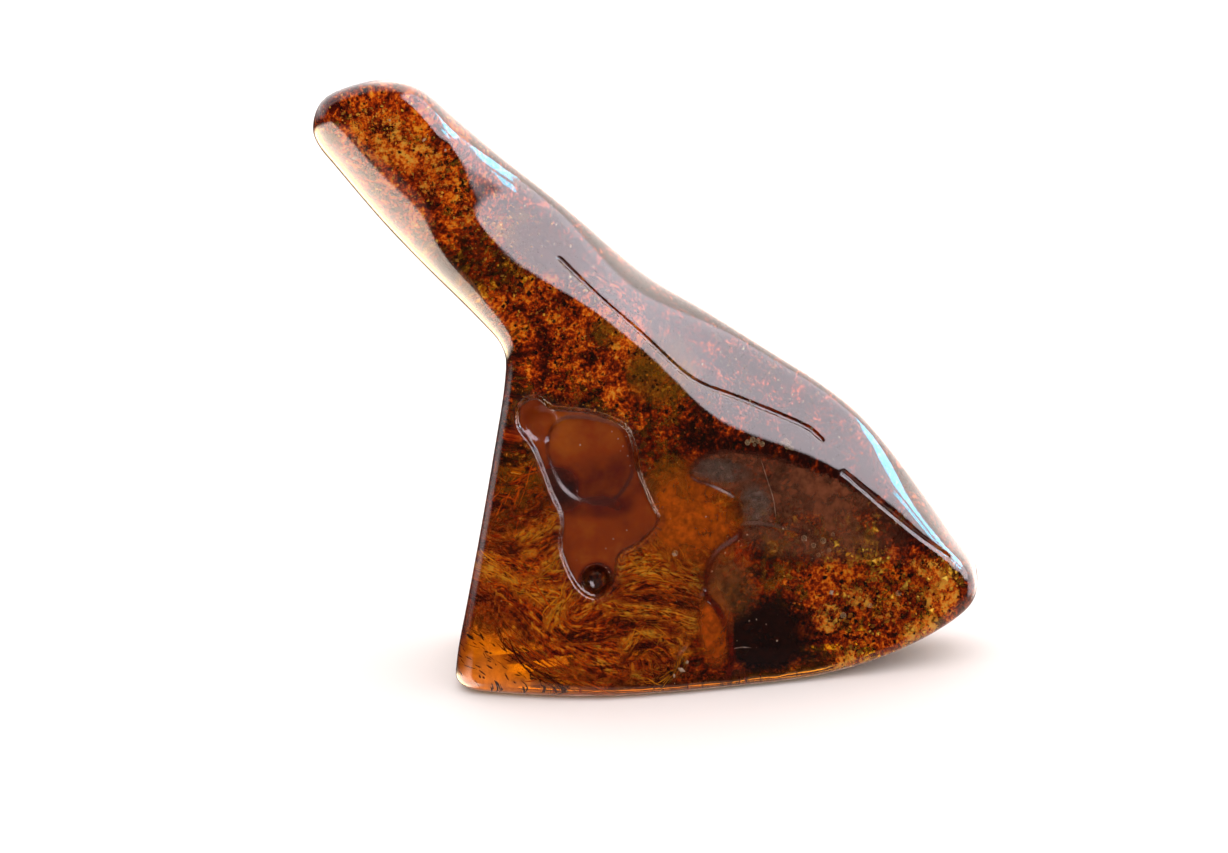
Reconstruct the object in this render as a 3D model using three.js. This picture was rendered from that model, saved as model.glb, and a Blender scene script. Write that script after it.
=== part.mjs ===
// Polished amber, a free form that stands on one flat ground facet.
//
// The outline is drawn as it is seen from a little above the front, on a sight plane that leans
// back from upright, and the edge wall runs square to that plane. The front, the bevels, the back
// and the underside then cut that wall, every edge between them is polished round, and shallow
// hollows of old skin lie in the front. All of it is one surface function, and a net of triangles
// is laid over it. Millimetres, +Z up, the front towards -Y, the origin under the stone's middle.

import * as THREE from 'three';

// Overall sizes
const SIGHT_TILT = THREE.MathUtils.degToRad(18);
const BASE_DEPTH_FRONT = 9.8;
const BASE_DEPTH_BACK = 9.6;

// Front face: it leans back, turns away to the right, and is ground off at the lower left corner
const FRONT_LEAN = 0.18;
const NECK_START = 30.0;
const NECK_FILL = 0.005;
const FRONT_TURN = 0.3;
const TURN_START = -4.0;
const CORNER_SLOPE = 0.35;
const FACET_BLEND = 3.0;

// Bevels beside the long ridge and under the neck. The long one falls from the ridge to the
// outline, and a flatness of 1 would make it straight.
const BEVEL_FLATNESS = 0.75;
const RIDGE_BLEND = 1.2;
const NECK_BEVEL_SLOPE = 0.8;

// Back face: it leans forward, and is ground a little at its two ends and along the bevels
const BACK_LEAN = 0.04;
const BACK_TURN = 0.07;
const BACK_TURN_START = 4.0;
const BACK_LEFT_TURN = 0.16;
const BACK_LEFT_START = -7.0;
const BACK_BEVEL_SLOPE = 0.1;
const DISH = { centre: [5.0, 17.0], radius: 9.0, depth: 0.5, floor: 0.2 };

// Underside: flat under the left and middle, lifting off the ground to the right
const LIFT_START = 10.0;
const LIFT_CURVE = 0.012;

// Radii of the polished edges
const EDGE_RADIUS = 2.2;
const HEAD_EDGE_RADIUS = 3.9;
const HEAD_START = 41.0;
const HEAD_END = 50.0;
const FOOT_RADIUS = 1.4;

// The bevels leave at least this much thickness at the outline, counted in edge radii
const LEAST_THICKNESS = 2.0;

// Scales that make the slanted faces' distances about true
const FRONT_SCALE = 0.85;
const BACK_SCALE = 0.95;

// The hollows run out between these heights above the ground
const HOLLOWS_START = 3.0;
const HOLLOWS_END = 0.6;

// Net of triangles: its cell size, how often and how far its points are evened out, and how
// strongly and from how far the edges of hollows draw them in. Where a hollow runs out, its pull
// fades as if it lay this much further off.
const CELL = 1.06;
const EVEN_PASSES = 12;
const EVEN_SHARE = 0.5;
const DETAIL_PULL = 3.0;
const DETAIL_REACH = 0.9;
const DETAIL_FADE = 4.0;
const FLAT_TOLERANCE = 0.002;
const SLOPE_STEP = 0.01;
const LEAST_SLOPE_SQUARED = 0.2;
const TINY = 0.001;
const PIECES_PER_SPAN = 5;
const NET_BOX = new THREE.Box3(new THREE.Vector3(-29.3, -12.3, -1.7), new THREE.Vector3(29.3, 12.7, 55.1));

// Outline on the sight plane, as [right, up], clockwise from the left of the head
const OUTLINE = [
  [-27.45, 47.2], [-26.8, 49.1], [-25.1, 50.2], [-21.75, 51.0], [-18.6, 50.4], [-15.75, 48.1],
  [-12.3, 45.15], [-6.5, 40.6], [-0.5, 35.6], [4.65, 32.5], [10.25, 29.0], [14.0, 26.65],
  [17.5, 23.9], [20.9, 20.0], [25.4, 13.9], [27.2, 11.5], [27.4, 9.4], [26.2, 7.1],
  [21.85, 3.45], [17.0, 0.3], [8.0, -3.2], [-8.0, -4.2], [-14.4, -2.8], [-15.9, 0.5],
  [-15.85, 3.8], [-15.0, 8.3], [-13.9, 14.1], [-12.7, 21.0], [-11.85, 26.5], [-12.0, 29.2],
  [-14.0, 31.6], [-18.2, 35.75], [-21.8, 39.5], [-25.5, 43.85], [-27.0, 45.7],
];

// The long ridge between the front and the upper right bevel
const RIDGE = [
  [-19.5, 52.0], [-17.4, 47.9], [-16.0, 43.0], [-14.2, 38.6], [-10.5, 35.2], [-5.0, 32.9],
  [0.0, 29.2], [4.3, 24.9], [7.5, 22.9], [14.0, 20.5], [19.4, 17.4], [23.5, 13.6],
  [26.2, 11.3], [29.5, 9.5],
];

// The edge of the bevel under the neck; below the neck it leaves the outline
const NECK_EDGE = [
  [-30.0, 50.0], [-24.2, 45.6], [-18.3, 40.4], [-16.2, 35.9], [-14.0, 33.2], [-12.3, 30.2],
  [-12.5, 26.5], [-14.6, 20.0], [-17.5, 5.0], [-19.0, -8.0],
];

// The corner that is ground off at the lower left, as two points of its edge
const CORNER_EDGE = [[-14.1, 8.3], [-4.1, 0.8]];

// Hollows of old skin in the front: outline, depth, and the width of the wall round it. A hollow
// with a fade runs out to nothing between those two places to the right.
const HOLLOWS = {
  tongue: {
    depth: 0.45,
    wall: 0.5,
    outline: [
      [-10.75, 22.9], [-10.6, 24.6], [-9.25, 25.2], [-7.75, 24.3], [-4.9, 24.0], [-2.1, 22.9],
      [-1.25, 21.2], [-0.9, 19.2], [0.1, 16.7], [0.75, 15.0], [-0.75, 13.3], [-2.5, 12.2],
      [-2.8, 10.4], [-4.0, 8.8], [-5.5, 9.2], [-6.6, 10.8], [-7.3, 12.9], [-7.2, 15.4],
      [-8.0, 17.3], [-8.7, 19.2], [-9.5, 21.1],
    ],
  },
  cushion: {
    depth: 0.22,
    wall: 0.8,
    outline: [
      [-8.4, 20.9], [-7.9, 19.3], [-7.0, 17.7], [-5.5, 16.75], [-3.0, 16.8], [-1.5, 18.8],
      [-1.5, 20.5], [-2.3, 22.6], [-4.25, 23.4], [-6.7, 23.6], [-8.0, 22.7],
    ],
  },
  rightLobe: {
    depth: 0.25,
    wall: 0.6,
    fade: [9.0, 20.0],
    outline: [
      [9.9, 14.7], [7.75, 14.75], [7.2, 13.75], [5.5, 12.5], [4.6, 10.7], [4.6, 9.0],
      [5.6, 7.75], [6.5, 5.8], [6.75, 3.75], [7.2, -1.5], [21.0, -2.0], [26.0, 5.0],
      [21.0, 11.7], [16.0, 13.3], [12.6, 14.1],
    ],
  },
  upperFacet: {
    depth: 0.12,
    wall: 0.8,
    fade: [10.0, 22.0],
    outline: [
      [3.6, 18.5], [3.25, 19.3], [4.25, 20.3], [5.75, 20.8], [8.0, 20.7], [10.9, 20.1],
      [15.1, 18.6], [18.4, 16.6], [20.9, 14.4], [22.8, 11.7], [21.0, 11.2], [16.0, 13.2],
      [12.6, 14.1], [9.9, 14.7], [7.75, 14.75], [7.2, 16.7], [5.5, 17.75],
    ],
  },
  wedge: {
    depth: 0.2,
    wall: 0.5,
    outline: [
      [4.4, 9.0], [3.9, 7.9], [3.5, 6.1], [3.1, 4.8], [2.25, 3.7], [1.75, 0.8],
      [1.9, -1.7], [6.9, -1.7], [6.75, 3.75], [6.5, 5.8], [5.6, 7.75],
    ],
  },
};

// Round marks: the small knob beside the cushion, whose wall is rounded over its blend, and the deep
// pit at the tongue's tip, whose wall runs from the floor to the rim, as shares of its radius
const KNOB = { centre: [-8.8, 23.0], radius: 1.3, depth: 0.3, blend: 0.3 };
const PIT = { centre: [-4.37, 10.25], radius: 1.15, depth: 1.0, floor: 0.55, rim: 1.15 };

// A smooth curve through the points, as a fine line of straight pieces with the box round it
function smoothCurve(points, closed) {
  const knots = points.map(([right, up]) => new THREE.Vector3(right, up, 0));
  const curve = new THREE.CatmullRomCurve3(knots, closed, 'catmullrom', 0.5);
  const spans = closed ? points.length : points.length - 1;
  const line = curve.getPoints(spans * PIECES_PER_SPAN);
  return {
    closed,
    pieces: line.slice(1).map((end, i) => new THREE.Line3(line[i], end)),
    box: new THREE.Box3().setFromPoints(line),
  };
}

// Distance from a point of the sight plane to a curve: negative inside a closed curve, and
// negative to the right of an open one
function curveDistance(curve, right, up) {
  let nearest = Infinity;
  let side = 1;
  let inside = false;
  for (const { start, end } of curve.pieces) {
    const dx = end.x - start.x;
    const dy = end.y - start.y;
    const px = right - start.x;
    const py = up - start.y;
    const along = Math.min(1, Math.max(0, (px * dx + py * dy) / (dx * dx + dy * dy)));
    const gapX = px - along * dx;
    const gapY = py - along * dy;
    const gap = gapX * gapX + gapY * gapY;
    if (gap < nearest) {
      nearest = gap;
      side = dx * py > dy * px ? 1 : -1;
    }
    if (start.y > up !== end.y > up && px < (dx * py) / dy) {
      inside = !inside;
    }
  }
  if (curve.closed) {
    side = inside ? -1 : 1;
  }
  return side * Math.sqrt(nearest);
}

// Height of a point on the sight plane, counted from the front of the foot
function upOnSightPlane(y, z) {
  return z * Math.cos(SIGHT_TILT) + (y + BASE_DEPTH_FRONT) * Math.sin(SIGHT_TILT);
}

// The greater of two values, with the corner between them rounded over the given width
function roundMax(a, b, width) {
  const overlap = Math.max(width - Math.abs(a - b), 0);
  return Math.max(a, b) + (overlap * overlap) / (4 * width);
}

function smoothStep(value, start, end) {
  const t = Math.min(1, Math.max(0, (value - start) / (end - start)));
  return t * t * (3 - 2 * t);
}

const outline = smoothCurve(OUTLINE, true);
const ridge = smoothCurve(RIDGE, false);
const neckEdge = smoothCurve(NECK_EDGE, false);
const hollows = Object.values(HOLLOWS).map((hollow) => ({
  ...hollow,
  curve: smoothCurve(hollow.outline, true),
}));

// How far the hollows and round marks sink the front at a place of the sight plane
function hollowDepth(right, up) {
  let depth = 0;
  const place = new THREE.Vector3(right, up, 0);
  for (const { curve, depth: full, wall, fade } of hollows) {
    if (curve.box.distanceToPoint(place) < wall) {
      const inside = -curveDistance(curve, right, up);
      const reach = fade ? 1 - smoothStep(right, fade[0], fade[1]) : 1;
      depth += full * reach * smoothStep(inside, -wall / 2, wall / 2);
    }
  }
  const knobGap = Math.hypot(right - KNOB.centre[0], up - KNOB.centre[1]);
  depth += KNOB.depth * smoothStep(KNOB.radius - knobGap, -KNOB.blend, KNOB.blend);
  const pitGap = Math.hypot(right - PIT.centre[0], up - PIT.centre[1]) / PIT.radius;
  depth += PIT.depth * (1 - smoothStep(pitGap, PIT.floor, PIT.rim));
  return depth;
}

function cornerDistance(right, up) {
  const [[ax, ay], [bx, by]] = CORNER_EDGE;
  return ((by - ay) * (right - ax) - (bx - ax) * (up - ay)) / Math.hypot(bx - ax, by - ay);
}

// Depth of the front face, before its bevels
function frontFace(x, z, up) {
  const lean = FRONT_LEAN * z - NECK_FILL * Math.max(z - NECK_START, 0) ** 2;
  const flat = lean - BASE_DEPTH_FRONT;
  const turned = roundMax(flat, flat + FRONT_TURN * (x - TURN_START), FACET_BLEND);
  return roundMax(turned, flat + CORNER_SLOPE * cornerDistance(x, up), FACET_BLEND / 2);
}

// Depth of the back face, counted backwards to the front, before its bevels
function backFace(x, z) {
  const flat = BACK_LEAN * z - BASE_DEPTH_BACK;
  const turned = roundMax(flat, flat + BACK_TURN * (x - BACK_TURN_START), FACET_BLEND);
  const ground = roundMax(turned, flat - BACK_LEFT_TURN * (x - BACK_LEFT_START), FACET_BLEND);
  const dishGap = Math.hypot(x - DISH.centre[0], z - DISH.centre[1]) / DISH.radius;
  return ground + DISH.depth * (1 - smoothStep(dishGap, DISH.floor, 1));
}

// The amber is where this is negative. A hollow share of 0 leaves the hollows out.
function surface(x, y, z, hollowShare = 1) {
  const up = upOnSightPlane(y, z);
  const wall = curveDistance(outline, x, up);
  const pastRidge = roundMax(0, curveDistance(ridge, x, up), RIDGE_BLEND);
  const pastNeck = roundMax(0, -curveDistance(neckEdge, x, up), RIDGE_BLEND);

  const back = backFace(x, z) + BACK_BEVEL_SLOPE * (pastRidge + pastNeck);
  const underside = LIFT_CURVE * Math.max(x - LIFT_START, 0) ** 2;
  const edge = EDGE_RADIUS + (HEAD_EDGE_RADIUS - EDGE_RADIUS) * smoothStep(up, HEAD_START, HEAD_END);
  const deepest = -back - LEAST_THICKNESS * edge;

  let front = frontFace(x, z, up) + NECK_BEVEL_SLOPE * pastNeck;
  const bevelShare = pastRidge / (pastRidge + Math.max(-wall, 0) + TINY);
  const bevelProfile = bevelShare * (BEVEL_FLATNESS + (1 - BEVEL_FLATNESS) * bevelShare);
  front += Math.max(deepest - front, 0) * bevelProfile;
  if (hollowShare > 0) {
    front += hollowDepth(x, up) * smoothStep(z, HOLLOWS_END, HOLLOWS_START);
  }
  front = -roundMax(-front, -deepest, EDGE_RADIUS / 2);
  const sides = roundMax(wall, FRONT_SCALE * (front - y), edge);
  return roundMax(roundMax(sides, BACK_SCALE * (y + back), edge), underside - z, FOOT_RADIUS);
}

// How strongly the triangles gather at a place: most at the walls of the hollows
function detailWeight(point) {
  if (point.y > FRONT_LEAN * point.z) {
    return 1;
  }
  const up = upOnSightPlane(point.y, point.z);
  const place = new THREE.Vector3(point.x, up, 0);
  let gap = Math.abs(Math.hypot(point.x - PIT.centre[0], up - PIT.centre[1]) - PIT.radius);
  for (const { curve, fade } of hollows) {
    if (curve.box.distanceToPoint(place) < 2 * DETAIL_REACH) {
      const faded = fade ? DETAIL_FADE * smoothStep(point.x, fade[0], fade[1]) : 0;
      gap = Math.min(gap, Math.abs(curveDistance(curve, point.x, up)) + faded);
    }
  }
  return 1 + DETAIL_PULL * Math.exp(-((gap / DETAIL_REACH) ** 2));
}

// Moves a point straight onto the surface, along the slope of the surface function
function settle(point) {
  const { x, y, z } = point;
  const value = surface(x, y, z);
  const slope = new THREE.Vector3(
    surface(x + SLOPE_STEP, y, z) - value,
    surface(x, y + SLOPE_STEP, z) - value,
    surface(x, y, z + SLOPE_STEP) - value,
  ).divideScalar(SLOPE_STEP);
  point.addScaledVector(slope, -value / Math.max(slope.lengthSq(), LEAST_SLOPE_SQUARED));
}

// Lays a net over the stone without its hollows: one point in each grid cell that the surface
// passes through, and two triangles for each grid edge that it crosses
function layNet() {
  const counts = NET_BOX.getSize(new THREE.Vector3()).divideScalar(CELL).ceil().addScalar(1).toArray();
  const strides = [1, counts[0], counts[0] * counts[1]];
  const values = new Float64Array(counts[0] * counts[1] * counts[2]);
  const placeOf = (i, j, k) => new THREE.Vector3(i, j, k).multiplyScalar(CELL).add(NET_BOX.min);
  const each = (visit) => {
    for (let k = 0; k < counts[2]; k += 1) {
      for (let j = 0; j < counts[1]; j += 1) {
        for (let i = 0; i < counts[0]; i += 1) {
          visit(i, j, k, i + j * strides[1] + k * strides[2]);
        }
      }
    }
  };
  each((i, j, k, index) => {
    const { x, y, z } = placeOf(i, j, k);
    values[index] = surface(x, y, z, 0);
  });

  const points = [];
  const pointOfCell = new Map();
  each((i, j, k, index) => {
    const crossings = new THREE.Vector3();
    let count = 0;
    for (let axis = 0; axis < 3; axis += 1) {
      const others = [0, 1, 2].filter((other) => other !== axis);
      for (let corner = 0; corner < 4; corner += 1) {
        const steps = [0, 0, 0];
        steps[others[0]] = corner & 1;
        steps[others[1]] = corner >> 1;
        const from = index + steps[0] + steps[1] * strides[1] + steps[2] * strides[2];
        const before = values[from];
        const after = values[from + strides[axis]];
        if (before < 0 !== after < 0) {
          steps[axis] = before / (before - after);
          crossings.add(placeOf(i + steps[0], j + steps[1], k + steps[2]));
          count += 1;
        }
      }
    }
    if (count > 0) {
      pointOfCell.set(index, points.length);
      points.push(crossings.divideScalar(count));
    }
  });

  const faces = [];
  each((i, j, k, index) => {
    for (let axis = 0; axis < 3; axis += 1) {
      const inside = values[index] < 0;
      const after = values[index + strides[axis]];
      if (after !== undefined && inside !== after < 0) {
        const across = strides[(axis + 1) % 3];
        const over = strides[(axis + 2) % 3];
        const ring = [index, index - across, index - across - over, index - over];
        const [a, b, c, d] = ring.map((cell) => pointOfCell.get(cell));
        const shortWay = points[a].distanceTo(points[c]) < points[b].distanceTo(points[d]);
        const pair = shortWay ? [[a, b, c], [a, c, d]] : [[a, b, d], [b, c, d]];
        faces.push(...pair.map((face) => (inside ? face : face.reverse())));
      }
    }
  });
  return { points, faces };
}

// Evens the net out: each point moves towards its neighbours and settles on the surface again
function evenOut(points, faces) {
  const neighbours = points.map(() => new Set());
  for (const [a, b, c] of faces) {
    neighbours[a].add(b).add(c);
    neighbours[b].add(a).add(c);
    neighbours[c].add(a).add(b);
  }
  for (let pass = 0; pass < EVEN_PASSES; pass += 1) {
    const weights = points.map(detailWeight);
    points.forEach((point, i) => {
      const target = new THREE.Vector3();
      let total = 0;
      for (const j of neighbours[i]) {
        target.addScaledVector(points[j], weights[j]);
        total += weights[j];
      }
      point.lerp(target.divideScalar(total), EVEN_SHARE);
      settle(point);
    });
  }
}

function makeStone() {
  const { points, faces } = layNet();
  points.forEach(settle);
  evenOut(points, faces);
  for (const point of points) {
    settle(point);
    settle(point);
    if (Math.abs(point.z) < FLAT_TOLERANCE) {
      point.z = 0;
    }
  }
  const geometry = new THREE.BufferGeometry().setFromPoints(points);
  geometry.setIndex(faces.flat());
  geometry.computeVertexNormals();
  return geometry;
}

const amberFinish = new THREE.MeshStandardMaterial({
  color: 0x8a4210,
  roughness: 0.08,
  metalness: 0,
});

const amber = new THREE.Mesh(makeStone(), amberFinish);
amber.name = 'amber_stone';

const object = new THREE.Group();
object.add(amber);

export default object;
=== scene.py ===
import math

import bmesh
import bpy
import numpy as np
from mathutils import Euler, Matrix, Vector


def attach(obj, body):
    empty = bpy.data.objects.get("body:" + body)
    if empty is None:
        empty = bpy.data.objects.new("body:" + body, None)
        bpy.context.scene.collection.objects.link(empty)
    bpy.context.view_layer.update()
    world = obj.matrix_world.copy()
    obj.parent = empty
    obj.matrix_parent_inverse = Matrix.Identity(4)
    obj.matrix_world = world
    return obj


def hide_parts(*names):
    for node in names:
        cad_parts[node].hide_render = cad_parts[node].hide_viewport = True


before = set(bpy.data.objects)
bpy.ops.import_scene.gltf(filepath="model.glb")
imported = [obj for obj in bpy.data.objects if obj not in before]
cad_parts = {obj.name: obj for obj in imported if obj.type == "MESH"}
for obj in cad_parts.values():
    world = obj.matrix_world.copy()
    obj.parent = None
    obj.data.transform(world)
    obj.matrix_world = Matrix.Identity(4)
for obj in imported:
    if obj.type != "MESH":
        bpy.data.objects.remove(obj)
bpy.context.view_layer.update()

scene = bpy.context.scene

# The picture
# The stone is seen from 18 degrees above its front through a long lens, so nothing converges.
# A millimetre at the stone is 12 pixels of a picture 1228 wide and 853 high.
MM = 0.001
SIGHT_TILT = math.radians(18)
BASE_DEPTH_FRONT = 9.8
PICTURE_WIDTH = 1228 / 12
PICTURE_CENTRE = (-2.92, 22.79)
CAMERA_DISTANCE = 600
SENSOR_WIDTH = 36

sight = Vector((0, math.cos(SIGHT_TILT), -math.sin(SIGHT_TILT)))
sight_up = Vector((0, math.sin(SIGHT_TILT), math.cos(SIGHT_TILT)))


def on_sight_plane(right, up, depth=0.0):
    """Millimetre places seen at (right, up), counted from the front of the foot along the sight."""
    x = np.asarray(right) + 0 * np.asarray(up)
    y = -BASE_DEPTH_FRONT + np.asarray(up) * sight_up.y + np.asarray(depth) * sight.y
    z = np.asarray(up) * sight_up.z + np.asarray(depth) * sight.z
    return np.stack(np.broadcast_arrays(x, y, z), axis=-1)


lens = bpy.data.cameras.new("long_lens")
lens.sensor_width = SENSOR_WIDTH
lens.lens = SENSOR_WIDTH * CAMERA_DISTANCE / PICTURE_WIDTH
lens.clip_start = 0.05
camera = bpy.data.objects.new("camera", lens)
aim = Vector(on_sight_plane(*PICTURE_CENTRE, depth=BASE_DEPTH_FRONT)) * MM
camera.location = aim - sight * CAMERA_DISTANCE * MM
camera.rotation_euler = Euler((math.radians(90) - SIGHT_TILT, 0, 0))
scene.collection.objects.link(camera)
scene.camera = camera
scene.view_settings.view_transform = "Standard"
scene.cycles.max_bounces = 16
scene.cycles.diffuse_bounces = 2
scene.cycles.glossy_bounces = 8
scene.cycles.transmission_bounces = 12
scene.cycles.transparent_max_bounces = 32

# The amber
# One lump of fossil resin, cut to a free form and polished all over, with shallow hollows of
# dull old skin left in its front, and two creases along its long bevel. Its faces are the solid's,
# laid out again on a finer mesh. All sizes are millimetres as they are on the real stone.
FRONT_LEAN = 0.18
NECK_START = 30.0
NECK_FILL = 0.005
FRONT_TURN = 0.3
TURN_START = -4.0
CORNER_SLOPE = 0.35
FACET_BLEND = 3.0
BEVEL_FLATNESS = 0.75
RIDGE_BLEND = 1.2
NECK_BEVEL_SLOPE = 0.8
BASE_DEPTH_BACK = 9.6
BACK_LEAN = 0.04
BACK_TURN = 0.07
BACK_TURN_START = 4.0
BACK_LEFT_TURN = 0.16
BACK_LEFT_START = -7.0
BACK_BEVEL_SLOPE = 0.1
DISH = {"centre": (5.0, 17.0), "radius": 9.0, "depth": 0.5, "floor": 0.2}
LIFT_START = 10.0
LIFT_CURVE = 0.012
EDGE_RADIUS = 2.2
HEAD_EDGE_RADIUS = 3.9
HEAD_START = 41.0
HEAD_END = 50.0
FOOT_RADIUS = 1.4
LEAST_THICKNESS = 2.0
FRONT_SCALE = 0.85
BACK_SCALE = 0.95
HOLLOWS_START = 3.0
HOLLOWS_END = 0.6
PIECES_PER_SPAN = 5
TINY = 0.001
LEAST_SLOPE_SQUARED = 0.2
OUTLINE = [
    (-27.45, 47.2), (-26.8, 49.1), (-25.1, 50.2), (-21.75, 51.0), (-18.6, 50.4), (-15.75, 48.1),
    (-12.3, 45.15), (-6.5, 40.6), (-0.5, 35.6), (4.65, 32.5), (10.25, 29.0), (14.0, 26.65),
    (17.5, 23.9), (20.9, 20.0), (25.4, 13.9), (27.2, 11.5), (27.4, 9.4), (26.2, 7.1),
    (21.85, 3.45), (17.0, 0.3), (8.0, -3.2), (-8.0, -4.2), (-14.4, -2.8), (-15.9, 0.5),
    (-15.85, 3.8), (-15.0, 8.3), (-13.9, 14.1), (-12.7, 21.0), (-11.85, 26.5), (-12.0, 29.2),
    (-14.0, 31.6), (-18.2, 35.75), (-21.8, 39.5), (-25.5, 43.85), (-27.0, 45.7),
]
RIDGE = [
    (-19.5, 52.0), (-17.4, 47.9), (-16.0, 43.0), (-14.2, 38.6), (-10.5, 35.2), (-5.0, 32.9),
    (0.0, 29.2), (4.3, 24.9), (7.5, 22.9), (14.0, 20.5), (19.4, 17.4), (23.5, 13.6),
    (26.2, 11.3), (29.5, 9.5),
]
NECK_EDGE = [
    (-30.0, 50.0), (-24.2, 45.6), (-18.3, 40.4), (-16.2, 35.9), (-14.0, 33.2), (-12.3, 30.2),
    (-12.5, 26.5), (-14.6, 20.0), (-17.5, 5.0), (-19.0, -8.0),
]
CORNER_EDGE = [(-14.1, 8.3), (-4.1, 0.8)]
HOLLOWS = {
    "tongue": {
        "depth": 0.45,
        "wall": 0.5,
        "outline": [
            (-10.75, 22.9), (-10.6, 24.6), (-9.25, 25.2), (-7.75, 24.3), (-4.9, 24.0), (-2.1, 22.9),
            (-1.25, 21.2), (-0.9, 19.2), (0.1, 16.7), (0.75, 15.0), (-0.75, 13.3), (-2.5, 12.2),
            (-2.8, 10.4), (-4.0, 8.8), (-5.5, 9.2), (-6.6, 10.8), (-7.3, 12.9), (-7.2, 15.4),
            (-8.0, 17.3), (-8.7, 19.2), (-9.5, 21.1),
        ],
    },
    "cushion": {
        "depth": 0.22,
        "wall": 0.8,
        "outline": [
            (-8.4, 20.9), (-7.9, 19.3), (-7.0, 17.7), (-5.5, 16.75), (-3.0, 16.8), (-1.5, 18.8),
            (-1.5, 20.5), (-2.3, 22.6), (-4.25, 23.4), (-6.7, 23.6), (-8.0, 22.7),
        ],
    },
    "right lobe": {
        "depth": 0.25,
        "wall": 0.6,
        "fade": (9.0, 20.0),
        "outline": [
            (9.9, 14.7), (7.75, 14.75), (7.2, 13.75), (5.5, 12.5), (4.6, 10.7), (4.6, 9.0),
            (5.6, 7.75), (6.5, 5.8), (6.75, 3.75), (7.2, -1.5), (21.0, -2.0), (26.0, 5.0),
            (21.0, 11.7), (16.0, 13.3), (12.6, 14.1),
        ],
    },
    "upper facet": {
        "depth": 0.12,
        "wall": 0.8,
        "fade": (10.0, 22.0),
        "outline": [
            (3.6, 18.5), (3.25, 19.3), (4.25, 20.3), (5.75, 20.8), (8.0, 20.7), (10.9, 20.1),
            (15.1, 18.6), (18.4, 16.6), (20.9, 14.4), (22.8, 11.7), (21.0, 11.2), (16.0, 13.2),
            (12.6, 14.1), (9.9, 14.7), (7.75, 14.75), (7.2, 16.7), (5.5, 17.75),
        ],
    },
    "wedge": {
        "depth": 0.2,
        "wall": 0.5,
        "outline": [
            (4.4, 9.0), (3.9, 7.9), (3.5, 6.1), (3.1, 4.8), (2.25, 3.7), (1.75, 0.8),
            (1.9, -1.7), (6.9, -1.7), (6.75, 3.75), (6.5, 5.8), (5.6, 7.75),
        ],
    },
}
KNOB = {"centre": (-8.8, 23.0), "radius": 1.3, "depth": 0.3, "blend": 0.3}
PIT = {"centre": (-4.37, 10.25), "radius": 1.15, "depth": 1.0, "floor": 0.55, "rim": 1.15}
CREASES = [
    [(-7.4, 36.5), (-4.1, 33.3), (-0.75, 30.4), (3.4, 26.7), (7.6, 25.0), (12.6, 22.9), (14.2, 21.7)],
    [(16.0, 19.0), (19.4, 16.1), (22.4, 13.7), (24.8, 12.0)],
]
CREASE_DEPTH = 0.2
CREASE_WIDTH = 0.3
CHART_LOW = np.array([-32.0, -9.0])
CHART_HIGH = np.array([32.0, 57.0])
CHART_STEP = 0.125


def smooth_line(points, closed):
    """A smooth curve through the points, as a fine line of straight pieces."""
    points = np.array(points)
    if closed:
        knots = np.vstack([points[-1:], points, points[:2]])
    else:
        knots = np.vstack([2 * points[:1] - points[1:2], points, 2 * points[-1:] - points[-2:-1]])
    line = []
    for before, start, end, after in zip(knots, knots[1:], knots[2:], knots[3:]):
        leave, arrive = (end - before) / 2, (after - start) / 2
        for t in np.arange(PIECES_PER_SPAN) / PIECES_PER_SPAN:
            bend = 3 * (end - start) - 2 * leave - arrive
            turn = 2 * (start - end) + leave + arrive
            line.append(start + leave * t + bend * t**2 + turn * t**3)
    line.append(knots[-2])
    return np.array(line)


def line_distance(line, closed, right, up):
    """Distance to a line: negative inside a closed one, and to the right of an open one."""
    nearest = np.full(right.shape, np.inf)
    side = np.ones(right.shape)
    inside = np.zeros(right.shape, bool)
    for start, end in zip(line, line[1:]):
        dx, dy = end - start
        px, py = right - start[0], up - start[1]
        along = np.clip((px * dx + py * dy) / (dx * dx + dy * dy), 0, 1)
        gap = (px - along * dx) ** 2 + (py - along * dy) ** 2
        closer = gap < nearest
        nearest = np.where(closer, gap, nearest)
        side = np.where(closer, np.where(dx * py > dy * px, 1.0, -1.0), side)
        if start[1] != end[1]:
            inside ^= ((start[1] > up) != (end[1] > up)) & (px < dx / dy * py)
    return np.sqrt(nearest) * (np.where(inside, -1.0, 1.0) if closed else side)


class Chart:
    """Values on a fine grid of the sight plane, read off between its points."""

    def __init__(self, make, step=CHART_STEP):
        counts = np.ceil((CHART_HIGH - CHART_LOW) / step).astype(int) + 1
        right = CHART_LOW[0] + step * np.arange(counts[0])
        up = CHART_LOW[1] + step * np.arange(counts[1])
        self.step = step
        self.values = make(*np.meshgrid(right, up, indexing="ij"))

    def __call__(self, right, up):
        u = np.clip((right - CHART_LOW[0]) / self.step, 0, self.values.shape[0] - 1.001)
        v = np.clip((up - CHART_LOW[1]) / self.step, 0, self.values.shape[1] - 1.001)
        i, j = u.astype(int), v.astype(int)
        u, v = u - i, v - j
        low = self.values[i, j] * (1 - u) + self.values[i + 1, j] * u
        high = self.values[i, j + 1] * (1 - u) + self.values[i + 1, j + 1] * u
        return low * (1 - v) + high * v


def distance_chart(points, closed):
    line = smooth_line(points, closed)
    return Chart(lambda right, up: line_distance(line, closed, right, up))


def round_max(a, b, width):
    """The greater of two values, with the corner between them rounded over the width."""
    overlap = np.maximum(width - np.abs(a - b), 0)
    return np.maximum(a, b) + overlap**2 / (4 * width)


def smooth_step(value, start, end):
    t = np.clip((value - start) / (end - start), 0, 1)
    return t * t * (3 - 2 * t)


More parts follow.
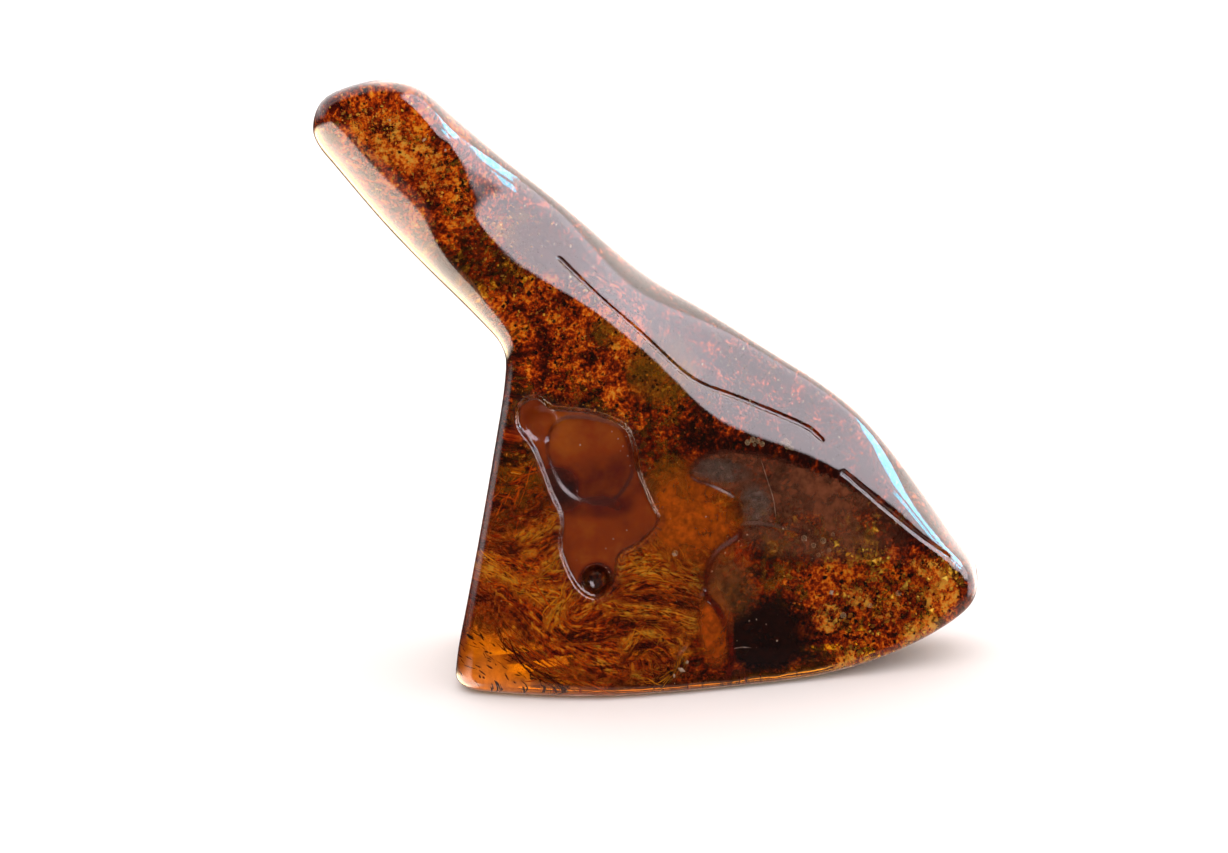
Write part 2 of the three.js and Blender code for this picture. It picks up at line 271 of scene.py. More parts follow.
wall_chart = distance_chart(OUTLINE, True)
ridge_chart = distance_chart(RIDGE, False)
neck_chart = distance_chart(NECK_EDGE, False)
crease_lines = [smooth_line(points, False) for points in CREASES]
crease_chart = Chart(lambda right, up: np.minimum(
    *[np.abs(line_distance(line, False, right, up)) for line in crease_lines]))
hollow_charts = {name: distance_chart(hollow["outline"], True) for name, hollow in HOLLOWS.items()}


def hollow_depth(right, up):
    """How far the hollows and the two round marks sink the front."""
    depth = 0
    for name, hollow in HOLLOWS.items():
        half = hollow["wall"] / 2
        share = smooth_step(-hollow_charts[name](right, up), -half, half)
        if "fade" in hollow:
            share = share * (1 - smooth_step(right, *hollow["fade"]))
        depth = depth + hollow["depth"] * share
    inside_knob = KNOB["radius"] - np.hypot(right - KNOB["centre"][0], up - KNOB["centre"][1])
    depth = depth + KNOB["depth"] * smooth_step(inside_knob, -KNOB["blend"], KNOB["blend"])
    pit_gap = np.hypot(right - PIT["centre"][0], up - PIT["centre"][1]) / PIT["radius"]
    return depth + PIT["depth"] * (1 - smooth_step(pit_gap, PIT["floor"], PIT["rim"]))


def front_face(x, z, up):
    flat = FRONT_LEAN * z - NECK_FILL * np.maximum(z - NECK_START, 0) ** 2 - BASE_DEPTH_FRONT
    turned = round_max(flat, flat + FRONT_TURN * (x - TURN_START), FACET_BLEND)
    (ax, ay), (bx, by) = CORNER_EDGE
    past_corner = ((by - ay) * (x - ax) - (bx - ax) * (up - ay)) / math.hypot(bx - ax, by - ay)
    return round_max(turned, flat + CORNER_SLOPE * past_corner, FACET_BLEND / 2)


def back_face(x, z):
    flat = BACK_LEAN * z - BASE_DEPTH_BACK
    turned = round_max(flat, flat + BACK_TURN * (x - BACK_TURN_START), FACET_BLEND)
    ground = round_max(turned, flat - BACK_LEFT_TURN * (x - BACK_LEFT_START), FACET_BLEND)
    gap = np.hypot(x - DISH["centre"][0], z - DISH["centre"][1]) / DISH["radius"]
    return ground + DISH["depth"] * (1 - smooth_step(gap, DISH["floor"], 1))


def seen_up(places):
    """How high in the picture millimetre places are seen."""
    return places[..., 2] * sight_up.z + (places[..., 1] + BASE_DEPTH_FRONT) * sight_up.y


def stone(places):
    """Negative inside the amber, at millimetre places of shape (..., 3)."""
    x, y, z = np.moveaxis(places, -1, 0)
    up = seen_up(places)
    wall = wall_chart(x, up)
    past_ridge = round_max(0, ridge_chart(x, up), RIDGE_BLEND)
    past_neck = round_max(0, -neck_chart(x, up), RIDGE_BLEND)

    back = back_face(x, z) + BACK_BEVEL_SLOPE * (past_ridge + past_neck)
    underside = LIFT_CURVE * np.maximum(x - LIFT_START, 0) ** 2
    edge = EDGE_RADIUS + (HEAD_EDGE_RADIUS - EDGE_RADIUS) * smooth_step(up, HEAD_START, HEAD_END)
    deepest = -back - LEAST_THICKNESS * edge

    front = front_face(x, z, up) + NECK_BEVEL_SLOPE * past_neck
    share = past_ridge / (past_ridge + np.maximum(-wall, 0) + TINY)
    profile = share * (BEVEL_FLATNESS + (1 - BEVEL_FLATNESS) * share)
    front = front + np.maximum(deepest - front, 0) * profile
    front = front + hollow_depth(x, up) * smooth_step(z, HOLLOWS_END, HOLLOWS_START)
    front = -round_max(-front, -deepest, EDGE_RADIUS / 2)
    front = front + CREASE_DEPTH * (1 - smooth_step(crease_chart(x, up), 0, CREASE_WIDTH))
    sides = round_max(wall, FRONT_SCALE * (front - y), edge)
    return round_max(round_max(sides, BACK_SCALE * (y + back), edge), underside - z, FOOT_RADIUS)


def stone_slope(places, value, step=0.01):
    slopes = [(stone(places + step * axis) - value) / step for axis in np.eye(3)]
    return np.stack(slopes, axis=-1)


def settle(places, passes):
    """Moves places straight onto the stone's surface."""
    for _ in range(passes):
        value = stone(places)
        slope = stone_slope(places, value)
        steepness = np.maximum((slope**2).sum(-1), LEAST_SLOPE_SQUARED)
        places = places - slope * (value / steepness)[..., None]
    return places


def mesh_piece(name, places, faces, smooth=True):
    """A new piece of the stone from millimetre places; it rides with the stone."""
    mesh = bpy.data.meshes.new(name)
    mesh.from_pydata((np.asarray(places) * MM).tolist(), [], faces)
    mesh.validate()
    mesh.polygons.foreach_set("use_smooth", [smooth] * len(mesh.polygons))
    piece = bpy.data.objects.new(name, mesh)
    scene.collection.objects.link(piece)
    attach(piece, "root")
    return piece


class Value:
    """A number that varies over a surface. Arithmetic on it adds the Math nodes."""

    def __init__(self, finish, socket):
        self.finish = finish
        self.socket = socket

    def _math(self, operation, *terms):
        out = self.finish.node("Math", {"operation": operation}, dict(enumerate(terms)))
        return Value(self.finish, out.outputs[0])

    def __add__(self, other):
        return self._math("ADD", self, other)

    def __radd__(self, other):
        return self._math("ADD", other, self)

    def __sub__(self, other):
        return self._math("SUBTRACT", self, other)

    def __rsub__(self, other):
        return self._math("SUBTRACT", other, self)

    def __mul__(self, other):
        return self._math("MULTIPLY", self, other)

    def __rmul__(self, other):
        return self._math("MULTIPLY", other, self)

    def step(self, start, end):
        """0 below start and 1 above end, with a smooth rise between them."""
        settings = {"interpolation_type": "SMOOTHSTEP"}
        inputs = {"Value": self, "From Min": start, "From Max": end}
        return Value(self.finish, self.finish.node("MapRange", settings, inputs).outputs["Result"])


class Finish:
    """A node material, or the node tree of the studio's world."""

    def __init__(self, name="", owner=None):
        self.owner = owner or bpy.data.materials.new(name)
        self.owner.use_nodes = True
        self.tree = self.owner.node_tree
        self.tree.nodes.clear()

    def node(self, kind, settings=None, inputs=None):
        """A shader node: its settings are made first, then its sockets get values or links."""
        node = self.tree.nodes.new("ShaderNode" + kind)
        for key, value in (settings or {}).items():
            if key == "stops":
                ramp = node.color_ramp
                while len(ramp.elements) < len(value):
                    ramp.elements.new(0.5)
                for element, (position, colour) in zip(ramp.elements, value):
                    element.position = position
                    element.color = (*colour, 1)
            else:
                setattr(node, key, value)
        for key, value in (inputs or {}).items():
            socket = node.inputs[key]
            if isinstance(value, Value):
                value = value.socket
            if isinstance(value, bpy.types.Node):
                value = value.outputs[0]
            if isinstance(value, bpy.types.NodeSocket):
                self.tree.links.new(value, socket)
            elif socket.type == "RGBA" and len(value) == 3:
                socket.default_value = (*value, 1)
            else:
                socket.default_value = value
        return node

    def value(self, node, output=0):
        return Value(self, node.outputs[output])

    def noise(self, place, scale, detail=3.0, roughness=0.5, distortion=0.0):
        """Noise from 0 to 1 with a scale in features per metre."""
        inputs = {"Vector": place, "Scale": scale, "Detail": detail, "Roughness": roughness,
                  "Distortion": distortion}
        return self.value(self.node("TexNoise", None, inputs))

    def mix(self, share, first, second):
        """The first colour where share is 0, the second where it is 1."""
        inputs = {"Factor": share, "A": first, "B": second}
        mixed = self.tree.nodes.new("ShaderNodeMix")
        mixed.data_type = "RGBA"
        for socket in mixed.inputs:
            if socket.enabled and socket.name in inputs:
                value = inputs[socket.name]
                value = value.socket if isinstance(value, Value) else value
                if isinstance(value, bpy.types.NodeSocket):
                    self.tree.links.new(value, socket)
                else:
                    socket.default_value = value if isinstance(value, float) else (*value, 1)
        return next(socket for socket in mixed.outputs if socket.enabled)

    def place(self):
        return self.node("TexCoord").outputs["Object"]

    def share(self, name):
        """A share that was kept at the piece's points."""
        return self.value(self.node("Attribute", {"attribute_name": name}), "Fac")

    def inner(self, colour, roughness, others):
        """The material of a piece inside the amber, which mirrors nothing of its own."""
        inputs = {"Base Color": colour, "Roughness": roughness, "Specular IOR Level": 0.0, **others}
        self.node("OutputMaterial", None, {"Surface": self.node("BsdfPrincipled", None, inputs)})
        return self.owner


# How near a wall of a hollow, and near a crease, the mesh is split at each of three rounds
HOLLOW_REACHES = (0.9, 0.55, 0.0)
CREASE_REACHES = (0.8, 0.45, 0.3)
CREASES_IN_FRONT_OF = 7.0
FADED_REACH = 3.0
SAME_POINT = 0.002
ON_THE_GROUND = 0.003
SETTLE_PASSES = 3


def fine_stone():
    """The solid's own mesh, split finer at the hollows and the creases, and settled."""
    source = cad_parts["amber_stone"].data
    body = bmesh.new()
    body.from_mesh(source)
    bmesh.ops.remove_doubles(body, verts=body.verts, dist=SAME_POINT * MM)
    bmesh.ops.subdivide_edges(body, edges=body.edges, cuts=1, use_grid_fill=True)
    for hollow_reach, crease_reach in zip(HOLLOW_REACHES, CREASE_REACHES):
        places = np.array([vertex.co for vertex in body.verts]) / MM
        right, up = places[:, 0], seen_up(places)
        gap = np.abs(np.hypot(right - PIT["centre"][0], up - PIT["centre"][1]) - PIT["radius"])
        for name, hollow in HOLLOWS.items():
            fade = smooth_step(right, *hollow["fade"]) if "fade" in hollow else 0
            gap = np.minimum(gap, np.abs(hollow_charts[name](right, up)) + FADED_REACH * fade)
        near_hollow = (gap < hollow_reach) & (places[:, 1] < FRONT_LEAN * places[:, 2])
        near_crease = crease_chart(right, up) < crease_reach
        near_crease = near_crease & (places[:, 1] < CREASES_IN_FRONT_OF)
        near = near_hollow | near_crease
        body.edges.ensure_lookup_table()
        body.verts.index_update()
        edges = [e for e in body.edges if near[e.verts[0].index] and near[e.verts[1].index]]
        bmesh.ops.subdivide_edges(body, edges=edges, cuts=1, use_grid_fill=True)
        bmesh.ops.triangulate(body, faces=body.faces)
    mesh = bpy.data.meshes.new("fine_stone")
    body.to_mesh(mesh)
    body.free()
    places = np.array([vertex.co for vertex in mesh.vertices]) / MM
    settled = settle(places, SETTLE_PASSES)
    settled[:, 2] = np.where(places[:, 2] < ON_THE_GROUND, 0, settled[:, 2])
    return settled, [tuple(face.vertices) for face in mesh.polygons]


# Light lost in a millimetre of this amber, for red, green and blue
AMBER_LOSS = (0.02, 0.105, 0.5)
AMBER_IOR = 1.54


def keep_share(piece, name, values):
    """Keeps a share from 0 to 1 at each point of a piece, for its finish to read."""
    piece.data.attributes.new(name, "FLOAT", "POINT").data.foreach_set("value", np.ravel(values))


def inside_hollow(name, right, up, soft=0.5):
    return smooth_step(-hollow_charts[name](right, up), -soft, soft)


# The tongue is dull from a little outside its edge; the right lobe is half as dull and ends polished
TONGUE_DULL_FROM = (-0.8, -0.2)
LOBE_DULL = 0.5
LOBE_POLISH = 0.8
LOBE_POLISH_FROM = (9, 18)

body_places, body_faces = fine_stone()
amber = mesh_piece("amber_body", body_places, body_faces)
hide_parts("amber_stone")
right, up = body_places[:, 0], seen_up(body_places)
in_tongue = smooth_step(-hollow_charts["tongue"](right, up), *TONGUE_DULL_FROM)
dull = np.maximum(in_tongue, LOBE_DULL * inside_hollow("right lobe", right, up))
dull = dull * (1 - LOBE_POLISH * smooth_step(right, *LOBE_POLISH_FROM))
keep_share(amber, "old_skin", dull * (body_places[:, 1] < -0.1 * body_places[:, 2]))

polished = Finish("polished_amber")
place = polished.place()
swirls = polished.noise(place, 90, 2)
scratches = polished.noise(place, 1400, 2)
relief = polished.node("Bump", None, {
    "Strength": 0.06,
    "Distance": 0.0004,
    "Height": swirls + scratches * 0.05,
})
surface = polished.node("BsdfPrincipled", None, {
    "Base Color": (0.98, 0.97, 0.95),
    "Roughness": 0.02 + 0.02 * swirls + 0.14 * polished.share("old_skin"),
    "IOR": AMBER_IOR,
    "Transmission Weight": 1.0,
    "Normal": relief,
})
density = max(AMBER_LOSS) / MM
body_colour = tuple(1 - loss / max(AMBER_LOSS) for loss in AMBER_LOSS)
volume = polished.node("VolumeAbsorption", None, {"Color": body_colour, "Density": density})
polished.node("OutputMaterial", None, {"Surface": surface, "Volume": volume})
amber.data.materials.append(polished.owner)

# The debris layers
# The resin ran in several flows, and bark dust, sand and rotten wood stuck to each one before the
# next covered it. So the debris lies in wavy sheets inside the amber, dark, with gaps that the
# light comes through golden. Crumbs of gold lie in pockets close under the face at both ends.
DEPTHS = np.arange(-15.0, 26.0, 0.5)
DEPTH_CHART_STEP = 0.5
PUFF_CORE = 0.45
LAYER_LOW = (-28, -5)
LAYER_HIGH = (28, 52)


def skin_depths(right, up):
    """Depths along the sight at which the stone is entered and left; equal beside the stone."""
    values = np.stack([stone(on_sight_plane(right, up, depth)) for depth in DEPTHS])
    inside = values < 0
    nearest = np.argmin(values, axis=0)
    first = np.where(inside.any(0), inside.argmax(0), nearest)
    last = np.where(inside.any(0), len(DEPTHS) - 1 - inside[::-1].argmax(0), nearest)
    i, j = np.indices(right.shape)
    step = DEPTHS[1] - DEPTHS[0]
    at_first, before = values[first, i, j], values[np.maximum(first - 1, 0), i, j]
    at_last, after = values[last, i, j], values[np.minimum(last + 1, len(DEPTHS) - 1), i, j]
    enter = DEPTHS[first] - np.where(at_first < 0, step * at_first / (at_first - before - TINY), 0)
    leave = DEPTHS[last] + np.where(at_last < 0, step * at_last / (at_last - after - TINY), 0)
    return enter, leave


enter_chart = Chart(lambda right, up: skin_depths(right, up)[0], DEPTH_CHART_STEP)
leave_chart = Chart(lambda right, up: skin_depths(right, up)[1], DEPTH_CHART_STEP)


def puff(right, up, centre, radii, turn=0):
    """1 inside an oval of the sight plane, falling softly to 0 at its edge."""
    angle = math.radians(turn)
    across, rise = right - centre[0], up - centre[1]
    u = (across * math.cos(angle) + rise * math.sin(angle)) / radii[0]
    v = (rise * math.cos(angle) - across * math.sin(angle)) / radii[1]
    return 1 - smooth_step(np.hypot(u, v), PUFF_CORE, 1.0)


def layer(name, spacing, depth_at, keep_in, fade, share_at=None):
    """A sheet inside the stone, seen from the front at (right, up); its border fades out."""
    sides = [np.arange(low, high, spacing) for low, high in zip(LAYER_LOW, LAYER_HIGH)]
    right, up = np.meshgrid(*sides, indexing="ij")
    places = on_sight_plane(right, up, depth_at(right, up))
    buried = -stone(places)
    share = share_at(right, up) if share_at else np.ones(right.shape)
    kept = (buried > keep_in) & (share > 0)
    number = np.full(right.shape, -1)
    number[kept] = np.arange(kept.sum())
    corners = [number[:-1, :-1], number[1:, :-1], number[1:, 1:], number[:-1, 1:]]
    quads = np.stack(corners, axis=-1).reshape(-1, 4)
    quads = quads[(quads >= 0).all(1)]
    used = np.unique(quads)
    fresh_number = np.full(number.max() + 1, -1)
    fresh_number[used] = np.arange(len(used))
    sheet = mesh_piece(name, places[kept][used], fresh_number[quads].tolist())
    fringe = smooth_step(buried, keep_in, keep_in + fade) * share
    keep_share(sheet, "fringe", fringe[kept][used])
    return sheet, right[kept][used], up[kept][used]


def waves(right, up, size, height, shift):
    """Gentle waves a few millimetres long, as a flow's surface has."""
    return height * (
        np.sin((0.8 * right + 0.6 * up) / size + shift)
        + 0.7 * np.sin((0.9 * up - 0.5 * right) / (0.7 * size) + 2 * shift)
        + 0.4 * np.sin((right + 0.2 * up) / (0.35 * size) + 3 * shift)
    )


# Soft ovals of the sight plane: centre, radii and turn in degrees
CLEAR_CORNER = ((-13.6, 0.4), (13.0, 7.4), -36)
TONGUE_SPOT = ((-4.5, 18.5), (6.2, 7.8), 0)
FLOW_ZONE = ((-4.0, 8.5), (12.0, 9.0), -12)
MILKY_CLOUD = ((3.6, 15.6), (5.6, 5.4), 0)
BLACK_SPOT = ((9.8, 5.6), (5.0, 4.0), 0)
GOLD_RIGHT = ((18.5, 8.0), (10.0, 6.5), -8)
GOLD_TOP = ((-5.0, 29.0), (12.0, 7.0), -35)
GOLD_HEAD = ((-19.5, 44.5), (11.0, 7.5), -40)
RED_BAND = ((10.5, 20.0), (11.0, 4.6), -18)
FACET_END = ((20.2, 14.9), (4.6, 3.2), -38)
UNDER_BEVEL = ((5.0, 30.0), (26.0, 4.6), -37)
CRUMB_TONES = [
    (0.20, (0.02, 0.0018, 0.001)), (0.36, (0.09, 0.009, 0.002)), (0.48, (0.27, 0.028, 0.004)),
    (0.60, (0.64, 0.09, 0.009)), (0.73, (1.0, 0.28, 0.03)), (0.90, (1.0, 0.56, 0.13)),
]


def zones(right, up, weighted):
    """Soft ovals of the sight plane added up, each with its own weight."""
    total = np.zeros(np.shape(right))
    for oval, weight in weighted:
        total = total + weight * puff(right, up, *oval)
    return total


CRUMB_ROUGHNESS = 0.6
FRONT_DEBRIS_DEPTH = 1.6
MIDDLE_DEBRIS_SHARE = 0.35
BACK_DEBRIS_DEPTH = 2.0
POCKET_DEPTH = 0.7


def debris_finish(name, coarse, fine, softness, most):
    """Crumbs from near black to gold, in clumps, with clear gaps between them."""
    finish = Finish(name)
    place = finish.place()
    clump = finish.noise(place, coarse, 2, 0.5)
    crumb = finish.noise(place, fine, 4, 0.65)
    mottle = clump * 0.4 + crumb * 0.6
    cover = (mottle + finish.share("cover") * 0.5 - 0.75).step(-softness, softness)
    shifted = finish.node("VectorMath", {"operation": "ADD"}, {0: place, 1: (0.31, 0.17, 0.43)})
    grain = finish.noise(shifted, fine * 1.3, 4, 0.7)
    patch = finish.noise(shifted, coarse * 1.6, 2, 0.5)
    tone = (grain - 0.5) * 1.6 + (patch - 0.5) * 1.1 + finish.share("gold")
    tones = finish.node("ValToRGB", {"stops": CRUMB_TONES}, {"Fac": tone})
    alpha = cover * finish.share("fringe") * most
    return finish.inner(tones.outputs[0], CRUMB_ROUGHNESS, {"Alpha": alpha})


def near_the_face(depth):
    """A depth under the face, but never past the middle of the stone."""
    def depth_at(right, up):
        enter = enter_chart(right, up)
        return enter + np.minimum(depth, 0.5 * (leave_chart(right, up) - enter))
    return depth_at


def front_depth(right, up):
    return near_the_face(FRONT_DEBRIS_DEPTH)(right, up) + waves(right, up, 4.0, 0.25, 1.0)


def middle_depth(right, up):
    enter, leave = enter_chart(right, up), leave_chart(right, up)
    between = enter * (1 - MIDDLE_DEBRIS_SHARE) + leave * MIDDLE_DEBRIS_SHARE
    return between + waves(right, up, 5.0, 0.4, 2.2)


def back_depth(right, up):
    return leave_chart(right, up) - BACK_DEBRIS_DEPTH + waves(right, up, 5.0, 0.3, 3.7)


def bare_front(right, up):
    ovals = (TONGUE_SPOT, MILKY_CLOUD, CLEAR_CORNER)
    return np.max([puff(right, up, *oval) for oval in ovals], axis=0)


def bare_corner(shift):
    return lambda right, up: puff(right - shift, up, *CLEAR_CORNER)


# Each sheet's spacing, depth, margin and fade; its gold and its cover, with the zones that add to
# them; where it is bare; and the scales of its clumps and crumbs, its softness and its density
DEBRIS = {
    "front": {
        "sheet": (0.4, front_depth, 0.15, 0.4),
        "gold": (0.40, [
            (GOLD_TOP, 0.11), (GOLD_RIGHT, 0.13), (GOLD_HEAD, 0.12), (RED_BAND, -0.16),
            (BLACK_SPOT, -0.2), (FACET_END, -0.12), (UNDER_BEVEL, -0.12)]),
        "cover": (0.35, [
            (GOLD_TOP, 0.3), (GOLD_RIGHT, 0.25), (GOLD_HEAD, 0.3), (RED_BAND, 0.3),
            (FLOW_ZONE, -0.25), (FACET_END, 0.3), (UNDER_BEVEL, 0.3)]),
        "bare": bare_front,
        "grain": (420, 2300, 0.03, 1.0),
    },
    "middle": {
        "sheet": (0.5, middle_depth, 0.2, 0.7),
        "gold": (0.38, [(GOLD_RIGHT, 0.08), (RED_BAND, -0.15), (FLOW_ZONE, 0.06)]),
        "cover": (0.55, [(BLACK_SPOT, 0.4), (RED_BAND, 0.3), (FLOW_ZONE, -0.05)]),
        "bare": bare_corner(1.2),
        "grain": (300, 1700, 0.06, 0.95),
    },
    "back": {
        "sheet": (0.5, back_depth, 0.2, 0.7),
        "gold": (0.40, [(FLOW_ZONE, 0.05)]),
        "cover": (0.75, []),
        "bare": bare_corner(2.5),
        "grain": (260, 1500, 0.1, 0.9),
    },
}
for side, facts in DEBRIS.items():
    sheet, right, up = layer(side + "_debris", *facts["sheet"])
    gold, gold_zones = facts["gold"]
    cover, cover_zones = facts["cover"]
    uncovered = 1 - facts["bare"](right, up)
    keep_share(sheet, "gold", gold + zones(right, up, gold_zones))
    keep_share(sheet, "cover", (cover + zones(right, up, cover_zones)) * uncovered)
    sheet.data.materials.append(debris_finish(side + "_crumbs", *facts["grain"]))


def pocket_share(right, up):
    """Where gold crumbs lie close under the face."""
    pockets = zones(right, up, [
        (((14.7, 6.9), (1.9, 2.0), 0), 1.0), (((24.2, 8.9), (2.2, 2.8), 0), 1.0),
        (((22.4, 5.8), (2.4, 1.7), 20), 1.0), (((16.7, 3.3), (2.6, 1.7), 10), 1.0),
        (((22.8, 11.2), (1.8, 1.3), 0), 0.9), (((17.2, 8.7), (2.2, 1.3), -20), 0.9),
        (((14.6, 12.3), (1.6, 1.3), 0), 0.7), (((17.6, 12.4), (2.2, 1.7), 0), 0.8),
        (((20.0, 7.4), (2.2, 1.6), 0), 0.6), (((-21.6, 46.4), (4.6, 3.2), -30), 0.9),
        (((-18.0, 43.6), (3.4, 2.6), -40), 0.8), (((-14.8, 39.4), (2.6, 2.4), -40), 0.6),
        (((-9.8, 33.0), (3.0, 2.0), -40), 0.5), (((-5.6, 29.6), (3.4, 2.2), -30), 0.5)])
    return np.minimum(pockets, 1)


# The margin and the fade at the border of a film that lies close under the face
FILM_BORDER = (0.12, 0.2)

gold_pockets, right, up = layer(
    "gold_pockets", 0.3, near_the_face(POCKET_DEPTH), *FILM_BORDER, pocket_share)
keep_share(gold_pockets, "gold", np.full(right.shape, 0.72))
keep_share(gold_pockets, "cover", 0.05 + 0.55 * pocket_share(right, up))
gold_pockets.data.materials.append(debris_finish("pocket_crumbs", 700, 2600, 0.03, 0.95))

# The old skin in the tongue
# Where the tongue-shaped hollow was left unpolished, the weathered skin of the lump shows: a dull
# film, orange above and dark red below, with no view into the stone, and with painted shade under
# the cushion. It lies just under the face.
SKIN_DEPTH = 0.4


def just_under(depth):
    return lambda right, up: enter_chart(right, up) + depth


def tongue_share(right, up):
    return inside_hollow("tongue", right, up, 0.25)


old_skin, right, up = layer("old_skin", 0.25, just_under(SKIN_DEPTH), 0.1, 0.2, tongue_share)
# The skin's tone. The ovals at (-7.5, 17.9) and (-4.6, 16.2), just under the cushion's lower edge,
# darken it as painted shade, and it is darkest under the pit
warm = 0.48 + zones(right, up, [
    (((-5.6, 22.4), (5.0, 3.4), 0), 0.2), (((-4.6, 13.2), (4.0, 4.0), 0), 0.12),
    (((-0.2, 15.6), (2.0, 2.6), 0), 0.12), (((-7.5, 17.9), (2.0, 2.2), 30), -0.4),
    (((-4.6, 16.2), (4.2, 1.3), 0), -0.2), (((-4.2, 19.0), (3.0, 3.0), 0), -0.1),
    ((PIT["centre"], (1.7, 1.7), 0), -1.2)])
keep_share(old_skin, "warm", warm)
skin = Finish("old_skin")
mottle = skin.noise(skin.place(), 500, 3, 0.6)
tones = skin.node("ValToRGB", {"stops": [
    (0.0, (0.03, 0.003, 0.003)), (0.3, (0.13, 0.010, 0.001)), (0.6, (0.36, 0.055, 0.002)),
    (0.9, (0.62, 0.16, 0.012)),
]}, {"Fac": skin.share("warm") + (mottle - 0.5) * 0.5})
alpha = skin.share("fringe") * (0.97 - 0.2 * mottle)
old_skin.data.materials.append(skin.inner(tones.outputs[0], 0.6, {"Alpha": alpha}))

# The clouds
# Fine bubbles and resin dust make milky films just under the face: an orange cloud in the middle and a
# smoky purple veil over the right with two blue-grey patches. Up on the left, a crack's greenish
# mirrored sheen is painted in as a film. Dark lines of painted shade lie along the edges of the
# hollows, and a dark patch of painted shade on the bevel marks where it mirrors less of the room.


def oval(*weighted):
    """The share of a cloud that is made of soft ovals."""
    return lambda right, up: np.minimum(zones(right, up, weighted), 1)


def facet_veil(right, up):
    inside = inside_hollow("upper facet", right, up, 0.25)
    lobe = inside_hollow("right lobe", right, up, 0.3) * puff(right, up, (12.0, 14.5), (9.0, 3.0), -12)
    return np.maximum(inside, lobe) * (1 - smooth_step(right, 16, 23))


def shade_line_of(name, reach, last_right):
    """The share of a line of painted shade that follows the edge of a hollow."""
    return lambda right, up: (
        (1 - smooth_step(np.abs(hollow_charts[name](right, up)), 0.3 * reach, reach))
        * (1 - smooth_step(right, last_right - 2, last_right)))


# Each cloud's depth, share, colour and density
CLOUDS = {
    "milky_cloud": (1.0, oval((MILKY_CLOUD, 1.0)), (0.75, 0.16, 0.012), 0.75),
    "green_gold_cloud": (1.4, oval((((1.4, 18.2), (3.0, 2.4), 30), 1.0)), (0.50, 0.22, 0.015), 0.55),
    "red_cloud": (1.2, oval((((6.0, 12.8), (2.6, 4.0), 0), 1.0)), (0.62, 0.05, 0.006), 0.6),
    "orange_wedge": (0.7, oval((((5.4, 6.6), (1.7, 4.4), 0), 1.0)), (0.75, 0.14, 0.01), 0.8),
    "corner_gold": (4.5, oval((((-14.0, 1.0), (9.5, 6.6), -36), 1.0)), (1.0, 0.80, 0.25), 0.9),
    "smoky_veil": (0.5, facet_veil, (0.34, 0.115, 0.08), 0.62),
    "grey_patches": (
        0.4, oval((((5.8, 19.2), (3.0, 1.3), -8), 1.0), (((8.7, 16.4), (1.6, 2.2), 10), 1.0)),
        (0.24, 0.17, 0.19), 0.6),
    # A crack up on the left, its greenish mirrored sheen painted in as a film
    "green_crack_sheen": (
        1.1, oval((((0.9, 27.4), (3.6, 3.4), 0), 1.4), (((-3.7, 30.4), (1.7, 1.4), -30), 1.0)),
        (0.34, 0.15, 0.010), 0.65),
    "lower_veil": (0.6, oval((((6.6, 9.8), (2.6, 3.4), 20), 1.0)), (0.34, 0.13, 0.05), 0.5),
    # Painted shade on the bevel, where it mirrors less of the room
    "bevel_shade_blot": (
        0.5, oval((((-8.7, 37.4), (3.4, 2.3), -38), 1.3), (((-6.6, 36.2), (1.6, 1.8), 0), 0.8)),
        (0.10, 0.022, 0.016), 0.9),
    "rotten_wood": (1.1, oval((((9.6, 5.4), (4.2, 3.3), 0), 1.5)), (0.020, 0.003, 0.002), 1.0),
    # Dark lines along the edges of the hollows: painted shade at their steps
    "lobe_shaded_edge": (0.35, shade_line_of("right lobe", 0.45, 9.0), (0.16, 0.010, 0.003), 0.9),
    "facet_shaded_edge": (0.35, shade_line_of("upper facet", 0.3, 14.0), (0.10, 0.020, 0.012), 0.6),
    "tongue_shaded_edge": (0.3, shade_line_of("tongue", 0.28, 5.0), (0.16, 0.014, 0.004), 0.8),
    "cushion_shaded_edge": (0.3, shade_line_of("cushion", 0.3, 3.0), (0.13, 0.012, 0.003), 0.55),
}


def cloud_finish(name, colour, most, through):
    """Wisps of one colour; light goes on through them where through is 1."""
    finish = Finish(name)
    place = finish.place()
    wisps = finish.noise(place, 350, 4, 0.6, 0.6)
    haze = finish.noise(place, 1500, 3, 0.6)
    dark = tuple(0.45 * part for part in colour)
    cover = finish.share("fringe") * (0.35 + 1.3 * wisps).step(0.5, 1.3) * 1.4
    return finish.inner(finish.mix(haze.step(0.3, 0.7), dark, colour), 0.7, {
        "IOR": 1.2,
        "Transmission Weight": through,
        "Alpha": cover * most,
    })


EDGE_SPACING = 0.15
CLOUD_SPACING = 0.4
for name, (depth, share_at, colour, most) in CLOUDS.items():
    spacing = EDGE_SPACING if name.endswith("edge") else CLOUD_SPACING
    cloud, right, up = layer(name, spacing, just_under(depth), *FILM_BORDER, share_at)
    through = 1.0 if name == "corner_gold" else 0.0
    cloud.data.materials.append(cloud_finish(name, colour, most, through))

